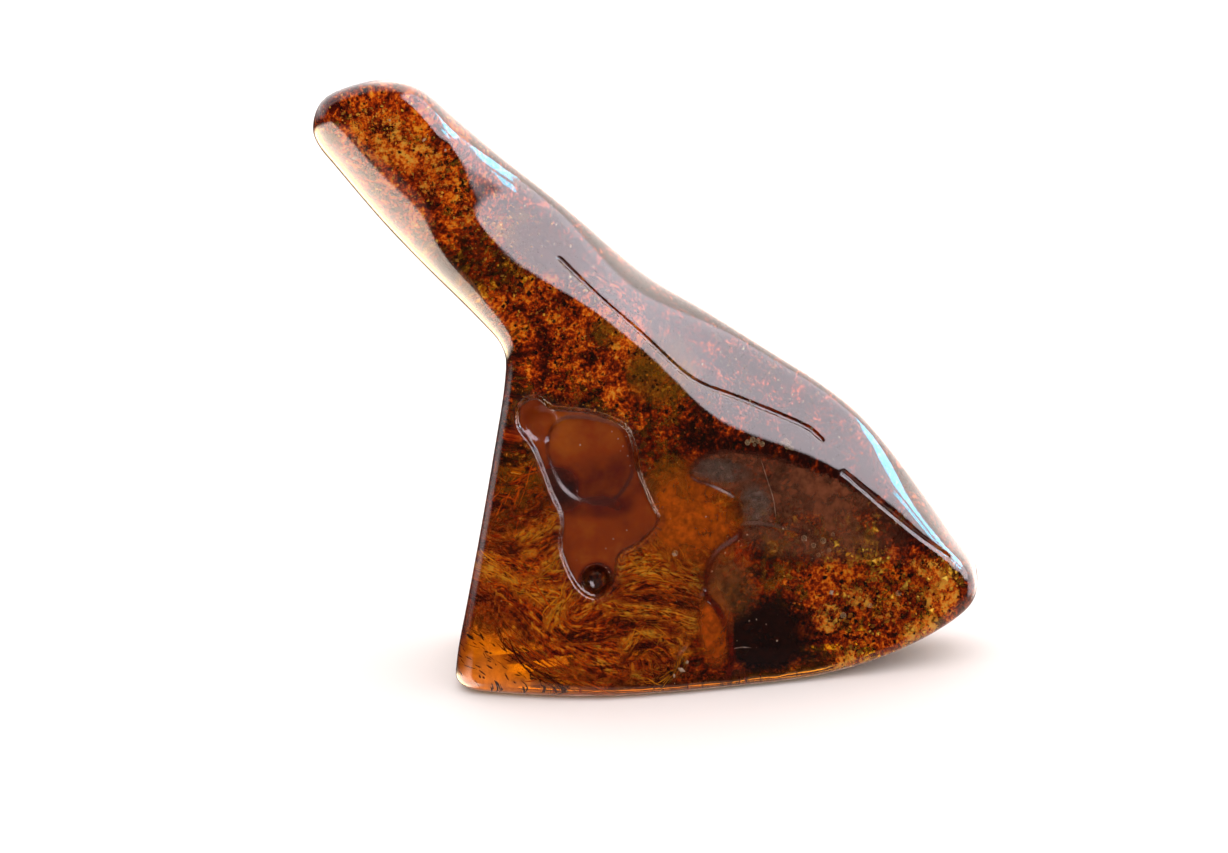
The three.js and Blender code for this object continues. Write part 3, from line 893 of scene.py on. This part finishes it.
# The flow
# In the lower middle the flowing resin drew the dust out into flames and whirls, gold and dark. They
# are two films whose grain runs along the currents, and thin closed threads that follow them.
# Each current's line, its tone and how far its threads spread
CURRENTS = [
    ([(-14.2, 12.4), (-12.0, 10.9), (-10.0, 9.6), (-7.6, 9.0)], "gold", 0.5),
    ([(-10.75, 9.2), (-9.5, 10.4), (-8.1, 11.5), (-6.9, 12.6)], "gold", 0.5),
    ([(-8.6, 6.0), (-7.75, 7.7), (-6.75, 9.0), (-5.6, 10.3)], "gold", 0.45),
    ([(-10.4, 12.7), (-8.7, 14.2), (-7.25, 15.3), (-5.9, 15.8)], "gold", 0.5),
    ([(-3.4, 10.3), (-0.75, 11.1), (1.6, 10.8), (4.9, 9.2)], "gold", 0.7),
    ([(-4.1, 8.5), (-2.0, 7.8), (0.5, 7.5), (3.2, 6.6)], "gold", 0.4),
    ([(0.5, 13.6), (1.6, 12.7), (1.9, 11.7), (1.8, 10.8)], "gold", 0.4),
    ([(-12.4, 15.5), (-11.3, 16.6), (-10.4, 18.0), (-9.6, 18.6)], "ember", 0.6),
    ([(-2.0, 4.6), (-0.9, 5.8), (0.6, 5.9), (1.9, 5.0)], "gold", 0.35),
    ([(2.1, 4.2), (1.6, 2.6), (0.2, 1.8), (-1.5, 2.4)], "gold", 0.35),
    ([(-12.8, 8.3), (-11.6, 5.7), (-9.1, 3.3), (-5.3, 1.8), (-0.75, 1.0)], "ember", 0.4),
    ([(-3.4, 9.3), (-0.3, 8.9), (2.6, 8.4), (4.5, 8.1)], "dark", 0.35),
    ([(-14.0, 15.0), (-11.6, 15.7), (-9.9, 16.0), (-8.7, 16.7)], "dark", 0.5),
    ([(-13.9, 9.4), (-12.4, 8.6), (-10.75, 7.3), (-9.5, 5.7)], "dark", 0.4),
    ([(-13.2, 8.0), (-11.6, 5.0), (-9.0, 2.8), (-5.2, 1.3), (-0.75, 0.6)], "dark", 0.22),
    ([(-2.4, 3.4), (-0.9, 4.7), (0.9, 4.6), (1.9, 3.4)], "dark", 0.3),
    ([(-14.2, 13.6), (-11.6, 12.6), (-9.6, 13.2), (-7.9, 14.0)], "dark", 0.4),
    ([(-7.4, 5.2), (-4.6, 5.9), (-1.6, 6.7), (1.4, 6.2)], "dark", 0.5),
    ([(-13.6, 13.0), (-11.4, 11.6), (-9.4, 10.9), (-7.6, 10.9)], "ember", 0.7),
    ([(-12.2, 9.2), (-9.6, 7.0), (-6.6, 4.6), (-2.4, 3.0)], "ember", 0.9),
    ([(-6.0, 7.6), (-2.6, 9.6), (1.0, 9.9), (4.6, 8.6)], "ember", 0.8),
]
# Each kind's colour, how many follow each current, and how wide the widest is
THREADS = {
    "gold": ((0.95, 0.42, 0.04), 30, 0.05),
    "dark": ((0.09, 0.012, 0.004), 34, 0.06),
    "ember": ((0.75, 0.13, 0.01), 34, 0.07),
}
STREAK_STATIONS = 14
STREAK_REACH = (0.12, 0.35)
STREAK_WAVER = 0.12
STREAK_LEAN = 0.3
THREAD_DEPTHS = (0.8, 3.8)
THREAD_COVER = 0.2
THINNEST_THREAD = 0.015
FLOW_WARMTH = {"gold": 0.62, "ember": 0.47, "dark": 0.33}
FLOW_REST = 0.4
CURRENT_SHIFT = 9.0
FLOW_OVAL = ((-5.2, 8.6), (13.0, 9.6), -12)
# Each film's depth and density
FLOW_FILMS = {"upper_flow": (1.3, 0.75), "lower_flow": (3.2, 0.95)}
dice = np.random.default_rng(11)


def flow_place(right, up):
    """How far along its nearest current a place lies, how far aside of it, and how gold it is."""
    nearest = np.full(right.shape, np.inf)
    along, aside, warmth = np.zeros((3, *right.shape))
    for number, (points, tone, spread) in enumerate(CURRENTS):
        line = smooth_line(points, False)
        distance = line_distance(line, False, right, up)
        steps = np.hypot(*np.diff(line, axis=0).T)
        run = np.concatenate([[0], np.cumsum(steps)])
        gaps = (right[..., None] - line[:, 0]) ** 2 + (up[..., None] - line[:, 1]) ** 2
        near = np.exp(-3 * (gaps - gaps.min(-1, keepdims=True)))
        place = (near * run).sum(-1) / near.sum(-1)
        closer = np.abs(distance) / spread < nearest
        nearest = np.where(closer, np.abs(distance) / spread, nearest)
        along = np.where(closer, place + CURRENT_SHIFT * number, along)
        aside = np.where(closer, distance, aside)
        warmth = np.where(closer, FLOW_WARMTH[tone], warmth)
    return along, aside, warmth, nearest


def flow_share(right, up):
    inside = puff(right, up, *FLOW_OVAL)
    return inside * (1 - puff(right, up, *CLEAR_CORNER)) * (1 - inside_hollow("right lobe", right, up))


def flow_finish(name, most):
    """A film with a grain that is long along the current and fine across it."""
    finish = Finish(name)
    along, aside = finish.share("along"), finish.share("aside")
    stretched = {"X": along * 0.9, "Y": aside * 3.2, "Z": along * 0.02}
    grain_place = finish.node("CombineXYZ", None, stretched)
    ragged = finish.noise(finish.place(), 2600, 3, 0.6)
    flame = finish.noise(grain_place, 1.0, 4, 0.6, 0.5)
    flame = flame + (ragged - 0.5) * 0.25
    tone = finish.share("warmth") + 0.12 + (flame - 0.5) * 2.1
    tones = finish.node("ValToRGB", {"stops": CRUMB_TONES}, {"Fac": tone})
    other = finish.noise(grain_place, 1.7, 3, 0.6, 0.3)
    cover = (other + (ragged - 0.5) * 0.4).step(0.36, 0.62)
    alpha = cover * finish.share("fringe") * most
    return finish.inner(tones.outputs[0], CRUMB_ROUGHNESS, {"Alpha": alpha})


def wavy(depth):
    return lambda right, up: just_under(depth)(right, up) + waves(right, up, 3.0, 0.2, depth)


for name, (depth, most) in FLOW_FILMS.items():
    film, right, up = layer(name, 0.3, wavy(depth), 0.2, 0.5, flow_share)
    along, aside, warmth, nearest = flow_place(right, up)
    far = smooth_step(nearest, 1.5, 4)
    keep_share(film, "along", along)
    keep_share(film, "aside", aside)
    keep_share(film, "warmth", warmth * (1 - far) + FLOW_REST * far)
    film.data.materials.append(flow_finish(name, most))


def strands(name, paths, widths, thickness=0.04):
    """Closed threads along rows of millimetre places, tapered to a point at both ends."""
    places, faces = [], []
    for path, width in zip(paths, widths):
        along = np.gradient(path, axis=0)
        across = np.cross(along, sight)
        across = width * across / np.linalg.norm(across, axis=1, keepdims=True)
        swell = np.sin(np.linspace(0, math.pi, len(path)))[:, None] ** 0.7
        through = np.array(sight) * min(thickness, width)
        sides = [path + swell * side for side in (across, through, -across, -through)]
        first = len(places)
        last = first + 4 * (len(path) - 2) + 1
        places.extend([path[0], *np.stack(sides, axis=1)[1:-1].reshape(-1, 3), path[-1]])
        for k, turn in ((0, 1), (1, 2), (2, 3), (3, 0)):
            faces.append((first, first + 1 + k, first + 1 + turn))
            for ring in range(first + 1, last - 4, 4):
                faces.append((ring + k, ring + 4 + k, ring + 4 + turn, ring + turn))
            faces.append((last - 4 + k, last, last - 4 + turn))
    return mesh_piece(name, places, faces)


def grain_finish(name, colour, tint=0.4, scale=700, roughness=0.5, metallic=0.0):
    """One colour, darker in places by the tint."""
    finish = Finish(name)
    shade = finish.noise(finish.place(), scale).step(0.35, 0.65)
    dark = tuple(part * (1 - tint) for part in colour)
    return finish.inner(finish.mix(shade, dark, colour), roughness, {"Metallic": metallic})


def drift(current, spread, shallow, deep):
    """One streak's path: part of its current, moved aside a little and wavering."""
    line = smooth_line(current, False)
    reach = dice.uniform(*STREAK_REACH)
    start = dice.uniform(0, 1 - reach)
    at = np.linspace(start, start + reach, STREAK_STATIONS) * (len(line) - 1)
    right = np.interp(at, np.arange(len(line)), line[:, 0])
    up = np.interp(at, np.arange(len(line)), line[:, 1])
    phase = np.linspace(0, dice.uniform(2, 6), STREAK_STATIONS) + dice.uniform(0, 6)
    waver = STREAK_WAVER * np.sin(phase)
    lean = np.linspace(-STREAK_LEAN, STREAK_LEAN, STREAK_STATIONS) * dice.normal()
    right = right + dice.normal() * spread + waver
    up = up + dice.normal() * spread + waver[::-1] + lean
    depth = enter_chart(right, up) + dice.uniform(shallow, deep)
    return on_sight_plane(right, up, depth)


for tone, (colour, count, widest) in THREADS.items():
    paths = [
        drift(points, spread, *THREAD_DEPTHS)
        for points, kind, spread in CURRENTS if kind == tone for _ in range(count)]
    paths = [path for path in paths if (stone(path) < -THREAD_COVER).all()]
    widths = [THINNEST_THREAD + widest * dice.random() ** 2 for _ in paths]
    threads = strands(tone + "_threads", paths, widths)
    threads.data.materials.append(grain_finish(tone + "_threads", colour))

# Grains, chips and glints
# Crumbs of bark and sand lie all through the stone, and light catches on cracked specks of resin, so
# the head and the right glitter gold. Each is a little solid with eight uneven faces.
TRIES_PER_GRAIN = 80
SCATTER_RIGHT = (-28, 28)
SCATTER_UP = (-4, 51)
LEAST_COVER = 0.12
SMALL_ONES = 2.5
GLINT_METAL = 0.85
GRAIN_ROUGHNESS = 0.35
UNEVENNESS = (0.6, 1.3)
OCTAHEDRON = np.array([(1, 0, 0), (-1, 0, 0), (0, 1, 0), (0, -1, 0), (0, 0, 1), (0, 0, -1)], float)
OCTAHEDRON_FACES = [
    (0, 2, 4), (2, 1, 4), (1, 3, 4), (3, 0, 4), (2, 0, 5), (1, 2, 5), (3, 1, 5), (0, 3, 5)]


def scattered(count, share_at, shallow, deep):
    """Random places under the face, between two depths, more of them where the share is high."""
    tries = TRIES_PER_GRAIN * count
    right = dice.uniform(*SCATTER_RIGHT, tries)
    up = dice.uniform(*SCATTER_UP, tries)
    kept = dice.random(tries) < share_at(right, up)
    right, up = right[kept][:2 * count], up[kept][:2 * count]
    depth = enter_chart(right, up) + dice.uniform(shallow, deep, len(right))
    places = on_sight_plane(right, up, depth)
    return places[stone(places) < -LEAST_COVER][:count]


def grains(name, places, sizes, flatness=0.6):
    """Little solids at millimetre places, each turned its own way."""
    turns = np.linalg.qr(dice.normal(size=(len(places), 3, 3)))[0]
    turns = turns * np.sign(np.linalg.det(turns))[:, None, None]
    shapes = OCTAHEDRON * dice.uniform(*UNEVENNESS, (len(places), 6, 1)) * (1, 1, flatness)
    shapes = np.einsum("nij,nkj->nki", turns, shapes) * np.asarray(sizes)[:, None, None]
    corners = (places[:, None, :] + shapes).reshape(-1, 3)
    faces = [tuple(6 * n + k for k in face) for n in range(len(places)) for face in OCTAHEDRON_FACES]
    return mesh_piece(name, corners, faces, smooth=False)


def head_share(right, up):
    return zones(right, up, [(GOLD_HEAD, 1.0), (((-9.0, 35.0), (9.0, 5.0), -42), 0.5)])


def right_share(right, up):
    glitter = zones(right, up, [
        (((15.4, 13.0), (1.1, 0.9), 0), 1.0), (((14.7, 12.1), (1.0, 0.7), 0), 0.8),
        (((16.6, 11.8), (0.9, 0.7), 0), 1.0), (((17.8, 12.5), (1.0, 1.0), 0), 1.0),
        (((19.2, 12.2), (0.9, 0.8), 0), 1.0), (((18.6, 10.6), (1.2, 0.8), 0), 0.7),
        (((24.0, 9.6), (2.0, 2.2), 0), 0.5), (((22.3, 6.0), (1.8, 1.2), 0), 0.4),
        (((14.8, 7.0), (1.6, 1.2), 0), 0.6), (((16.9, 3.6), (1.8, 1.2), 0), 0.8),
        (((16.6, 9.0), (1.6, 1.2), 0), 0.6), (((20.5, 8.0), (5.0, 4.0), 0), 0.12)])
    return np.minimum(glitter, 1)


def top_share(right, up):
    return zones(right, up, [(GOLD_TOP, 0.7), (((2.0, 27.0), (8.0, 3.0), -38), 0.3)])


def everywhere(right, up):
    return 0.8 * (1 - puff(right, up, *TONGUE_SPOT)) * (1 - puff(right, up, *CLEAR_CORNER))


def bevel_share(right, up):
    return 0.9 * puff(right, up, *UNDER_BEVEL)


# Each kind's count, share, depths, sizes and colour
GRAINS = {
    "head_glints": (800, head_share, (0.15, 1.6), (0.04, 0.20), (1.0, 0.60, 0.12)),
    "head_crumbs": (420, head_share, (0.15, 2.4), (0.06, 0.26), (0.045, 0.016, 0.008)),
    "right_glints": (1100, right_share, (0.3, 1.3), (0.07, 0.36), (1.0, 0.62, 0.10)),
    "right_crumbs": (
        420, lambda right, up: 0.7 * puff(right, up, *GOLD_RIGHT), (0.3, 2.4), (0.07, 0.3),
        (0.03, 0.010, 0.006)),
    "top_glints": (800, top_share, (0.5, 2.2), (0.04, 0.16), (0.85, 0.36, 0.05)),
    "top_crumbs": (420, top_share, (0.4, 2.0), (0.08, 0.3), (0.03, 0.008, 0.004)),
    "sand": (260, everywhere, (0.12, 1.5), (0.02, 0.07), (0.85, 0.70, 0.55)),
    "bevel_specks": (90, bevel_share, (0.12, 0.3), (0.05, 0.16), (1.0, 0.85, 0.60)),
}
for name, (count, share_at, depths, (least, most), colour) in GRAINS.items():
    places = scattered(count, share_at, *depths)
    sizes = least + (most - least) * dice.random(len(places)) ** SMALL_ONES
    crumbs = grains(name, places, sizes)
    metallic = GLINT_METAL if name.endswith(("glints", "specks")) else 0.0
    crumbs.data.materials.append(grain_finish(name, colour, 0.5, 700, GRAIN_ROUGHNESS, metallic))

# Marks in and on the stone
# Chips, dust and small bubbles sit at the face or just under it, each where the picture shows it:
# pale chips and specks, dark splinters in the clear corner, slits in the neck, and one fine crack.
CHIP_DEPTH = 0.25
CHIP_SCALE = 0.6
BUBBLE_DEPTH = 0.5
BUBBLE_SCALE = 0.8
SLIT_DEPTH = 0.3
# Each chip's and each bubble's right, up and size
CHIPS = [
    (2.6, 2.8, 0.55), (3.1, 3.4, 0.35), (2.0, 2.3, 0.35), (15.0, 9.1, 0.42), (2.0, 12.3, 0.34),
    (8.0, 13.9, 0.2), (7.3, 13.4, 0.16), (7.5, 13.0, 0.14), (6.2, 12.4, 0.16), (5.1, 10.9, 0.14),
    (-5.7, 21.3, 0.2), (11.0, 14.4, 0.2), (10.5, 5.1, 0.2), (8.2, 6.8, 0.16), (8.8, 6.9, 0.2),
    (9.6, 6.5, 0.14),
    (-1.9, 14.3, 0.14), (-3.0, 13.6, 0.14), (-3.6, 12.8, 0.12), (-3.1, 22.4, 0.1), (-2.6, 21.8, 0.1),
    (-2.2, 21.2, 0.1), (-1.8, 20.4, 0.1), (-1.6, 19.6, 0.1), (-1.9, 22.0, 0.08), (-2.4, 20.8, 0.08),
    (4.6, 15.4, 0.12), (12.9, 13.4, 0.16), (14.2, 12.4, 0.14), (13.4, 11.9, 0.12), (20.4, 14.8, 0.16),
    (-23.9, 44.6, 0.42), (-21.1, 47.6, 0.3), (-18.3, 46.0, 0.3), (-16.6, 45.2, 0.26),
    (-14.6, 42.8, 0.2),
]
BUBBLES = [
    (8.0, 21.5, 0.28), (8.4, 21.7, 0.3), (8.85, 21.6, 0.24), (9.2, 21.35, 0.26), (8.55, 21.3, 0.16),
    (10.8, 21.4, 0.2), (11.15, 21.55, 0.28), (11.3, 21.15, 0.3), (11.65, 21.0, 0.22),
    (11.5, 21.45, 0.16),
    (12.7, 13.6, 0.3), (13.5, 13.0, 0.26), (14.3, 13.4, 0.32), (14.8, 12.6, 0.24), (13.9, 12.2, 0.22),
    (15.1, 13.9, 0.2), (2.05, 12.4, 0.3), (20.6, 9.0, 0.3), (18.2, 8.0, 0.26), (16.0, 7.2, 0.3),
]
SLITS = [
    ([(-17.1, 36.9), (-16.6, 36.3), (-16.0, 35.5)], 0.16, (0.10, 0.02, 0.004)),
    ([(-14.8, 35.2), (-14.3, 34.4), (-13.8, 33.5), (-13.3, 32.4)], 0.13, (0.35, 0.10, 0.01)),
    ([(-14.3, 32.8), (-13.9, 32.2), (-13.5, 31.5)], 0.07, (0.10, 0.02, 0.004)),
    ([(-11.6, 26.8), (-11.5, 26.0), (-11.35, 25.3)], 0.08, (0.08, 0.012, 0.004)),
]
CRACK = [(9.1, 20.2), (9.7, 18.3), (10.2, 16.7), (10.4, 15.0)]
SCRATCH = [(6.9, 4.5), (7.6, 4.6), (8.4, 4.55)]


def beneath(points, depth):
    points = np.array(points, float)
    return on_sight_plane(points[:, 0], points[:, 1], enter_chart(points[:, 0], points[:, 1]) + depth)


chip_sizes = [CHIP_SCALE * size for right, up, size in CHIPS]
chips = grains("pale_chips", beneath(CHIPS, CHIP_DEPTH), chip_sizes)
chips.data.materials.append(grain_finish("pale_chips", (0.75, 0.58, 0.5), 0.3))

ball = bmesh.new()
bmesh.ops.create_icosphere(ball, subdivisions=3, radius=1)
ball.verts.ensure_lookup_table()
ball_places = np.array([vertex.co for vertex in ball.verts])
ball_faces = np.array([[vertex.index for vertex in face.verts] for face in ball.faces])
ball.free()
centres = beneath(BUBBLES, BUBBLE_DEPTH)
radii = np.array([size for right, up, size in BUBBLES])[:, None, None]
bubble_places = (centres[:, None, :] + BUBBLE_SCALE * radii * ball_places).reshape(-1, 3)
bubble_faces = (ball_faces + len(ball_places) * np.arange(len(BUBBLES))[:, None, None]).reshape(-1, 3)
bubbles = mesh_piece("bubbles", bubble_places, bubble_faces.tolist())
# Each bubble is a pale shell, almost clear face-on. Its pale rim, where the wall is seen edge-on, is a
# painted reflection
hollow_ball = Finish("bubbles")
frost = hollow_ball.noise(hollow_ball.place(), 3000, 2)
rim = hollow_ball.value(hollow_ball.node("LayerWeight", None, {"Blend": 0.5}), "Facing")
pale = hollow_ball.mix(frost, (0.85, 0.60, 0.50), (0.95, 0.80, 0.70))
alpha = 0.15 + 0.8 * rim.step(0.45, 0.85)
bubbles.data.materials.append(hollow_ball.inner(pale, 0.3, {"Alpha": alpha}))


def even_path(points, depth, stations=14):
    line = smooth_line(points, False)
    at = np.linspace(0, len(line) - 1, stations)
    sides = [np.interp(at, np.arange(len(line)), side) for side in line.T]
    return beneath(np.stack(sides, axis=1), depth)


for number, (points, width, colour) in enumerate(SLITS):
    slit = strands("neck_slit_%d" % number, [even_path(points, SLIT_DEPTH)], [width], 0.08)
    slit.data.materials.append(grain_finish("neck_slit_%d" % number, colour))
crack = strands("crack", [even_path(CRACK, 0.2), even_path(SCRATCH, 0.15)], [0.035, 0.05])
crack.data.materials.append(grain_finish("crack", (0.60, 0.42, 0.38), 0.6, 2500))


def corner_splinter(place):
    """A short straight splinter in the clear corner, lying the way the flow ran."""
    angle = math.radians(dice.normal(-40, 14))
    half = dice.uniform(0.08, 0.42) * np.linspace(-1, 1, 8)
    right, up = place[0] + half * math.cos(angle), place[1] + half * math.sin(angle)
    return on_sight_plane(right, up, enter_chart(right, up) + place[2])


# Splinters are tried in a box of right, up and depth, and kept in an oval along the corner
SPLINTER_BOX = ((-15.6, -2.2, 0.3), (-3.0, 8.4, 3.5))
SPLINTER_OVAL = ((-11.5, 2.2), (8.5, 3.4), -38)
SPLINTER_TRIES = 900
SPLINTERS = 170

spots = dice.uniform(*SPLINTER_BOX, (SPLINTER_TRIES, 3))
likely = puff(spots[:, 0], spots[:, 1], *SPLINTER_OVAL)
spots = spots[dice.random(SPLINTER_TRIES) < likely][:SPLINTERS]
paths = [corner_splinter(spot) for spot in spots]
paths = [path for path in paths if (stone(path) < -0.1).all()]
splinters = strands("corner_splinters", paths, [dice.uniform(0.02, 0.085) for _ in paths], 0.05)
splinters.data.materials.append(grain_finish("corner_splinters", (0.10, 0.03, 0.006), 0.6))

# The studio
# A plain pale floor under an even white sky, which is what shines through the amber. What the
# polish mirrors is a dim room with pale walls on the right and behind, a window of two panes high
# on the right, and a pale floor at the lower left.
FLOOR_HALF = 2.0
FLOOR_GAP = 0.05 * MM
floor_mesh = bpy.data.meshes.new("floor")
sides = ((-1, -1), (1, -1), (1, 1), (-1, 1))
corners = [(x * FLOOR_HALF, y * FLOOR_HALF, -FLOOR_GAP) for x, y in sides]
floor_mesh.from_pydata(corners, [], [(0, 1, 2, 3)])
floor = bpy.data.objects.new("floor", floor_mesh)
scene.collection.objects.link(floor)
floor.visible_glossy = False
paper = Finish("white_paper")
surface = paper.node("BsdfPrincipled", None, {"Base Color": (0.90, 0.81, 0.78), "Roughness": 0.9})
paper.node("OutputMaterial", None, {"Surface": surface})
floor_mesh.materials.append(paper.owner)

SKY = 1.2
BACK_LIGHT = 0.6
DIM_ROOM = (0.08, 0.05, 0.045)
PANE_HEIGHTS = (0.32, 0.43)
PANE_SOFTNESS = 0.01
world = bpy.data.worlds.new("studio")
scene.world = world
studio = Finish(owner=world)
direction = studio.node("TexCoord").outputs["Generated"]


def towards(*axis):
    """How far the direction that is looked in points along an axis, from -1 to 1."""
    factors = {0: direction, 1: Vector(axis).normalized()}
    return studio.value(studio.node("VectorMath", {"operation": "DOT_PRODUCT"}, factors), "Value")


rightward, away, upward = towards(1, 0, 0), towards(0, 1, 0), towards(0, 0, 1)
leftward, downward = towards(-1, 0, 0), towards(0, 0, -1)
wall = towards(0.8, -0.12, 0.56).step(0.78, 0.86)
high_enough = upward.step(0.22, 0.32)
far_enough = away.step(-0.32, -0.18)
wall = wall * (high_enough + far_enough - high_enough * far_enough)
behind = away.step(-0.05, 0.3) * upward.step(-0.25, -0.05)
right_behind = towards(0.62, 0.66, 0.35).step(0.6, 0.75)
below = downward.step(0.35, 0.6)
low_left = towards(-0.55, 0.25, -0.8).step(0.55, 0.7)
low_left = low_left * leftward.step(0.25, 0.45) * away.step(-0.6, -0.45)
low_left = low_left * downward.step(0.3, 0.5)
lamp = low_left * away.step(0.35, 0.7)
tip_wall = towards(0.93, 0.32, -0.1).step(0.9, 0.96)


def between(value, low, high):
    inside = value.step(low - PANE_SOFTNESS, low + PANE_SOFTNESS)
    return inside * (1 - value.step(high - PANE_SOFTNESS, high + PANE_SOFTNESS))


def pane(near, far):
    """1 in a pane of the window on the right, from its near to its far edge."""
    return between(upward, *PANE_HEIGHTS) * between(away, near, far) * rightward.step(0.2, 0.4)


# Each bright patch of the room and its colour; the later ones cover the earlier ones
PATCHES = [
    (below, (0.9, 0.6, 0.5)),
    (behind, (1.3, 1.2, 1.2)),
    (right_behind, (4.5, 3.9, 3.6)),
    (low_left, (7.5, 6.2, 5.3)),
    (lamp, (8.5, 7.0, 3.6)),
    (tip_wall, (3.6, 3.2, 3.3)),
    (wall, (7.6, 6.8, 7.3)),
    (pane(-0.11, 0.07) + pane(0.19, 0.48), (8.0, 16.0, 21.0)),
]
mirrored_room = DIM_ROOM
for share, colour in PATCHES:
    mirrored_room = studio.mix(share, mirrored_room, colour)
reflected = studio.node("Background", None, {"Color": mirrored_room, "Strength": 1.0})
brightness = SKY + BACK_LIGHT * towards(0, 0.8, 0.6).step(-0.3, 0.95)
sky = studio.node("Background", None, {"Color": (1, 1, 1), "Strength": brightness})
path = studio.node("LightPath")
mirrored = studio.value(path, "Is Reflection Ray") * studio.value(path, "Is Glossy Ray")
both = studio.node("MixShader", None, {0: mirrored, 1: sky, 2: reflected})
studio.node("OutputWorld", None, {"Surface": both})
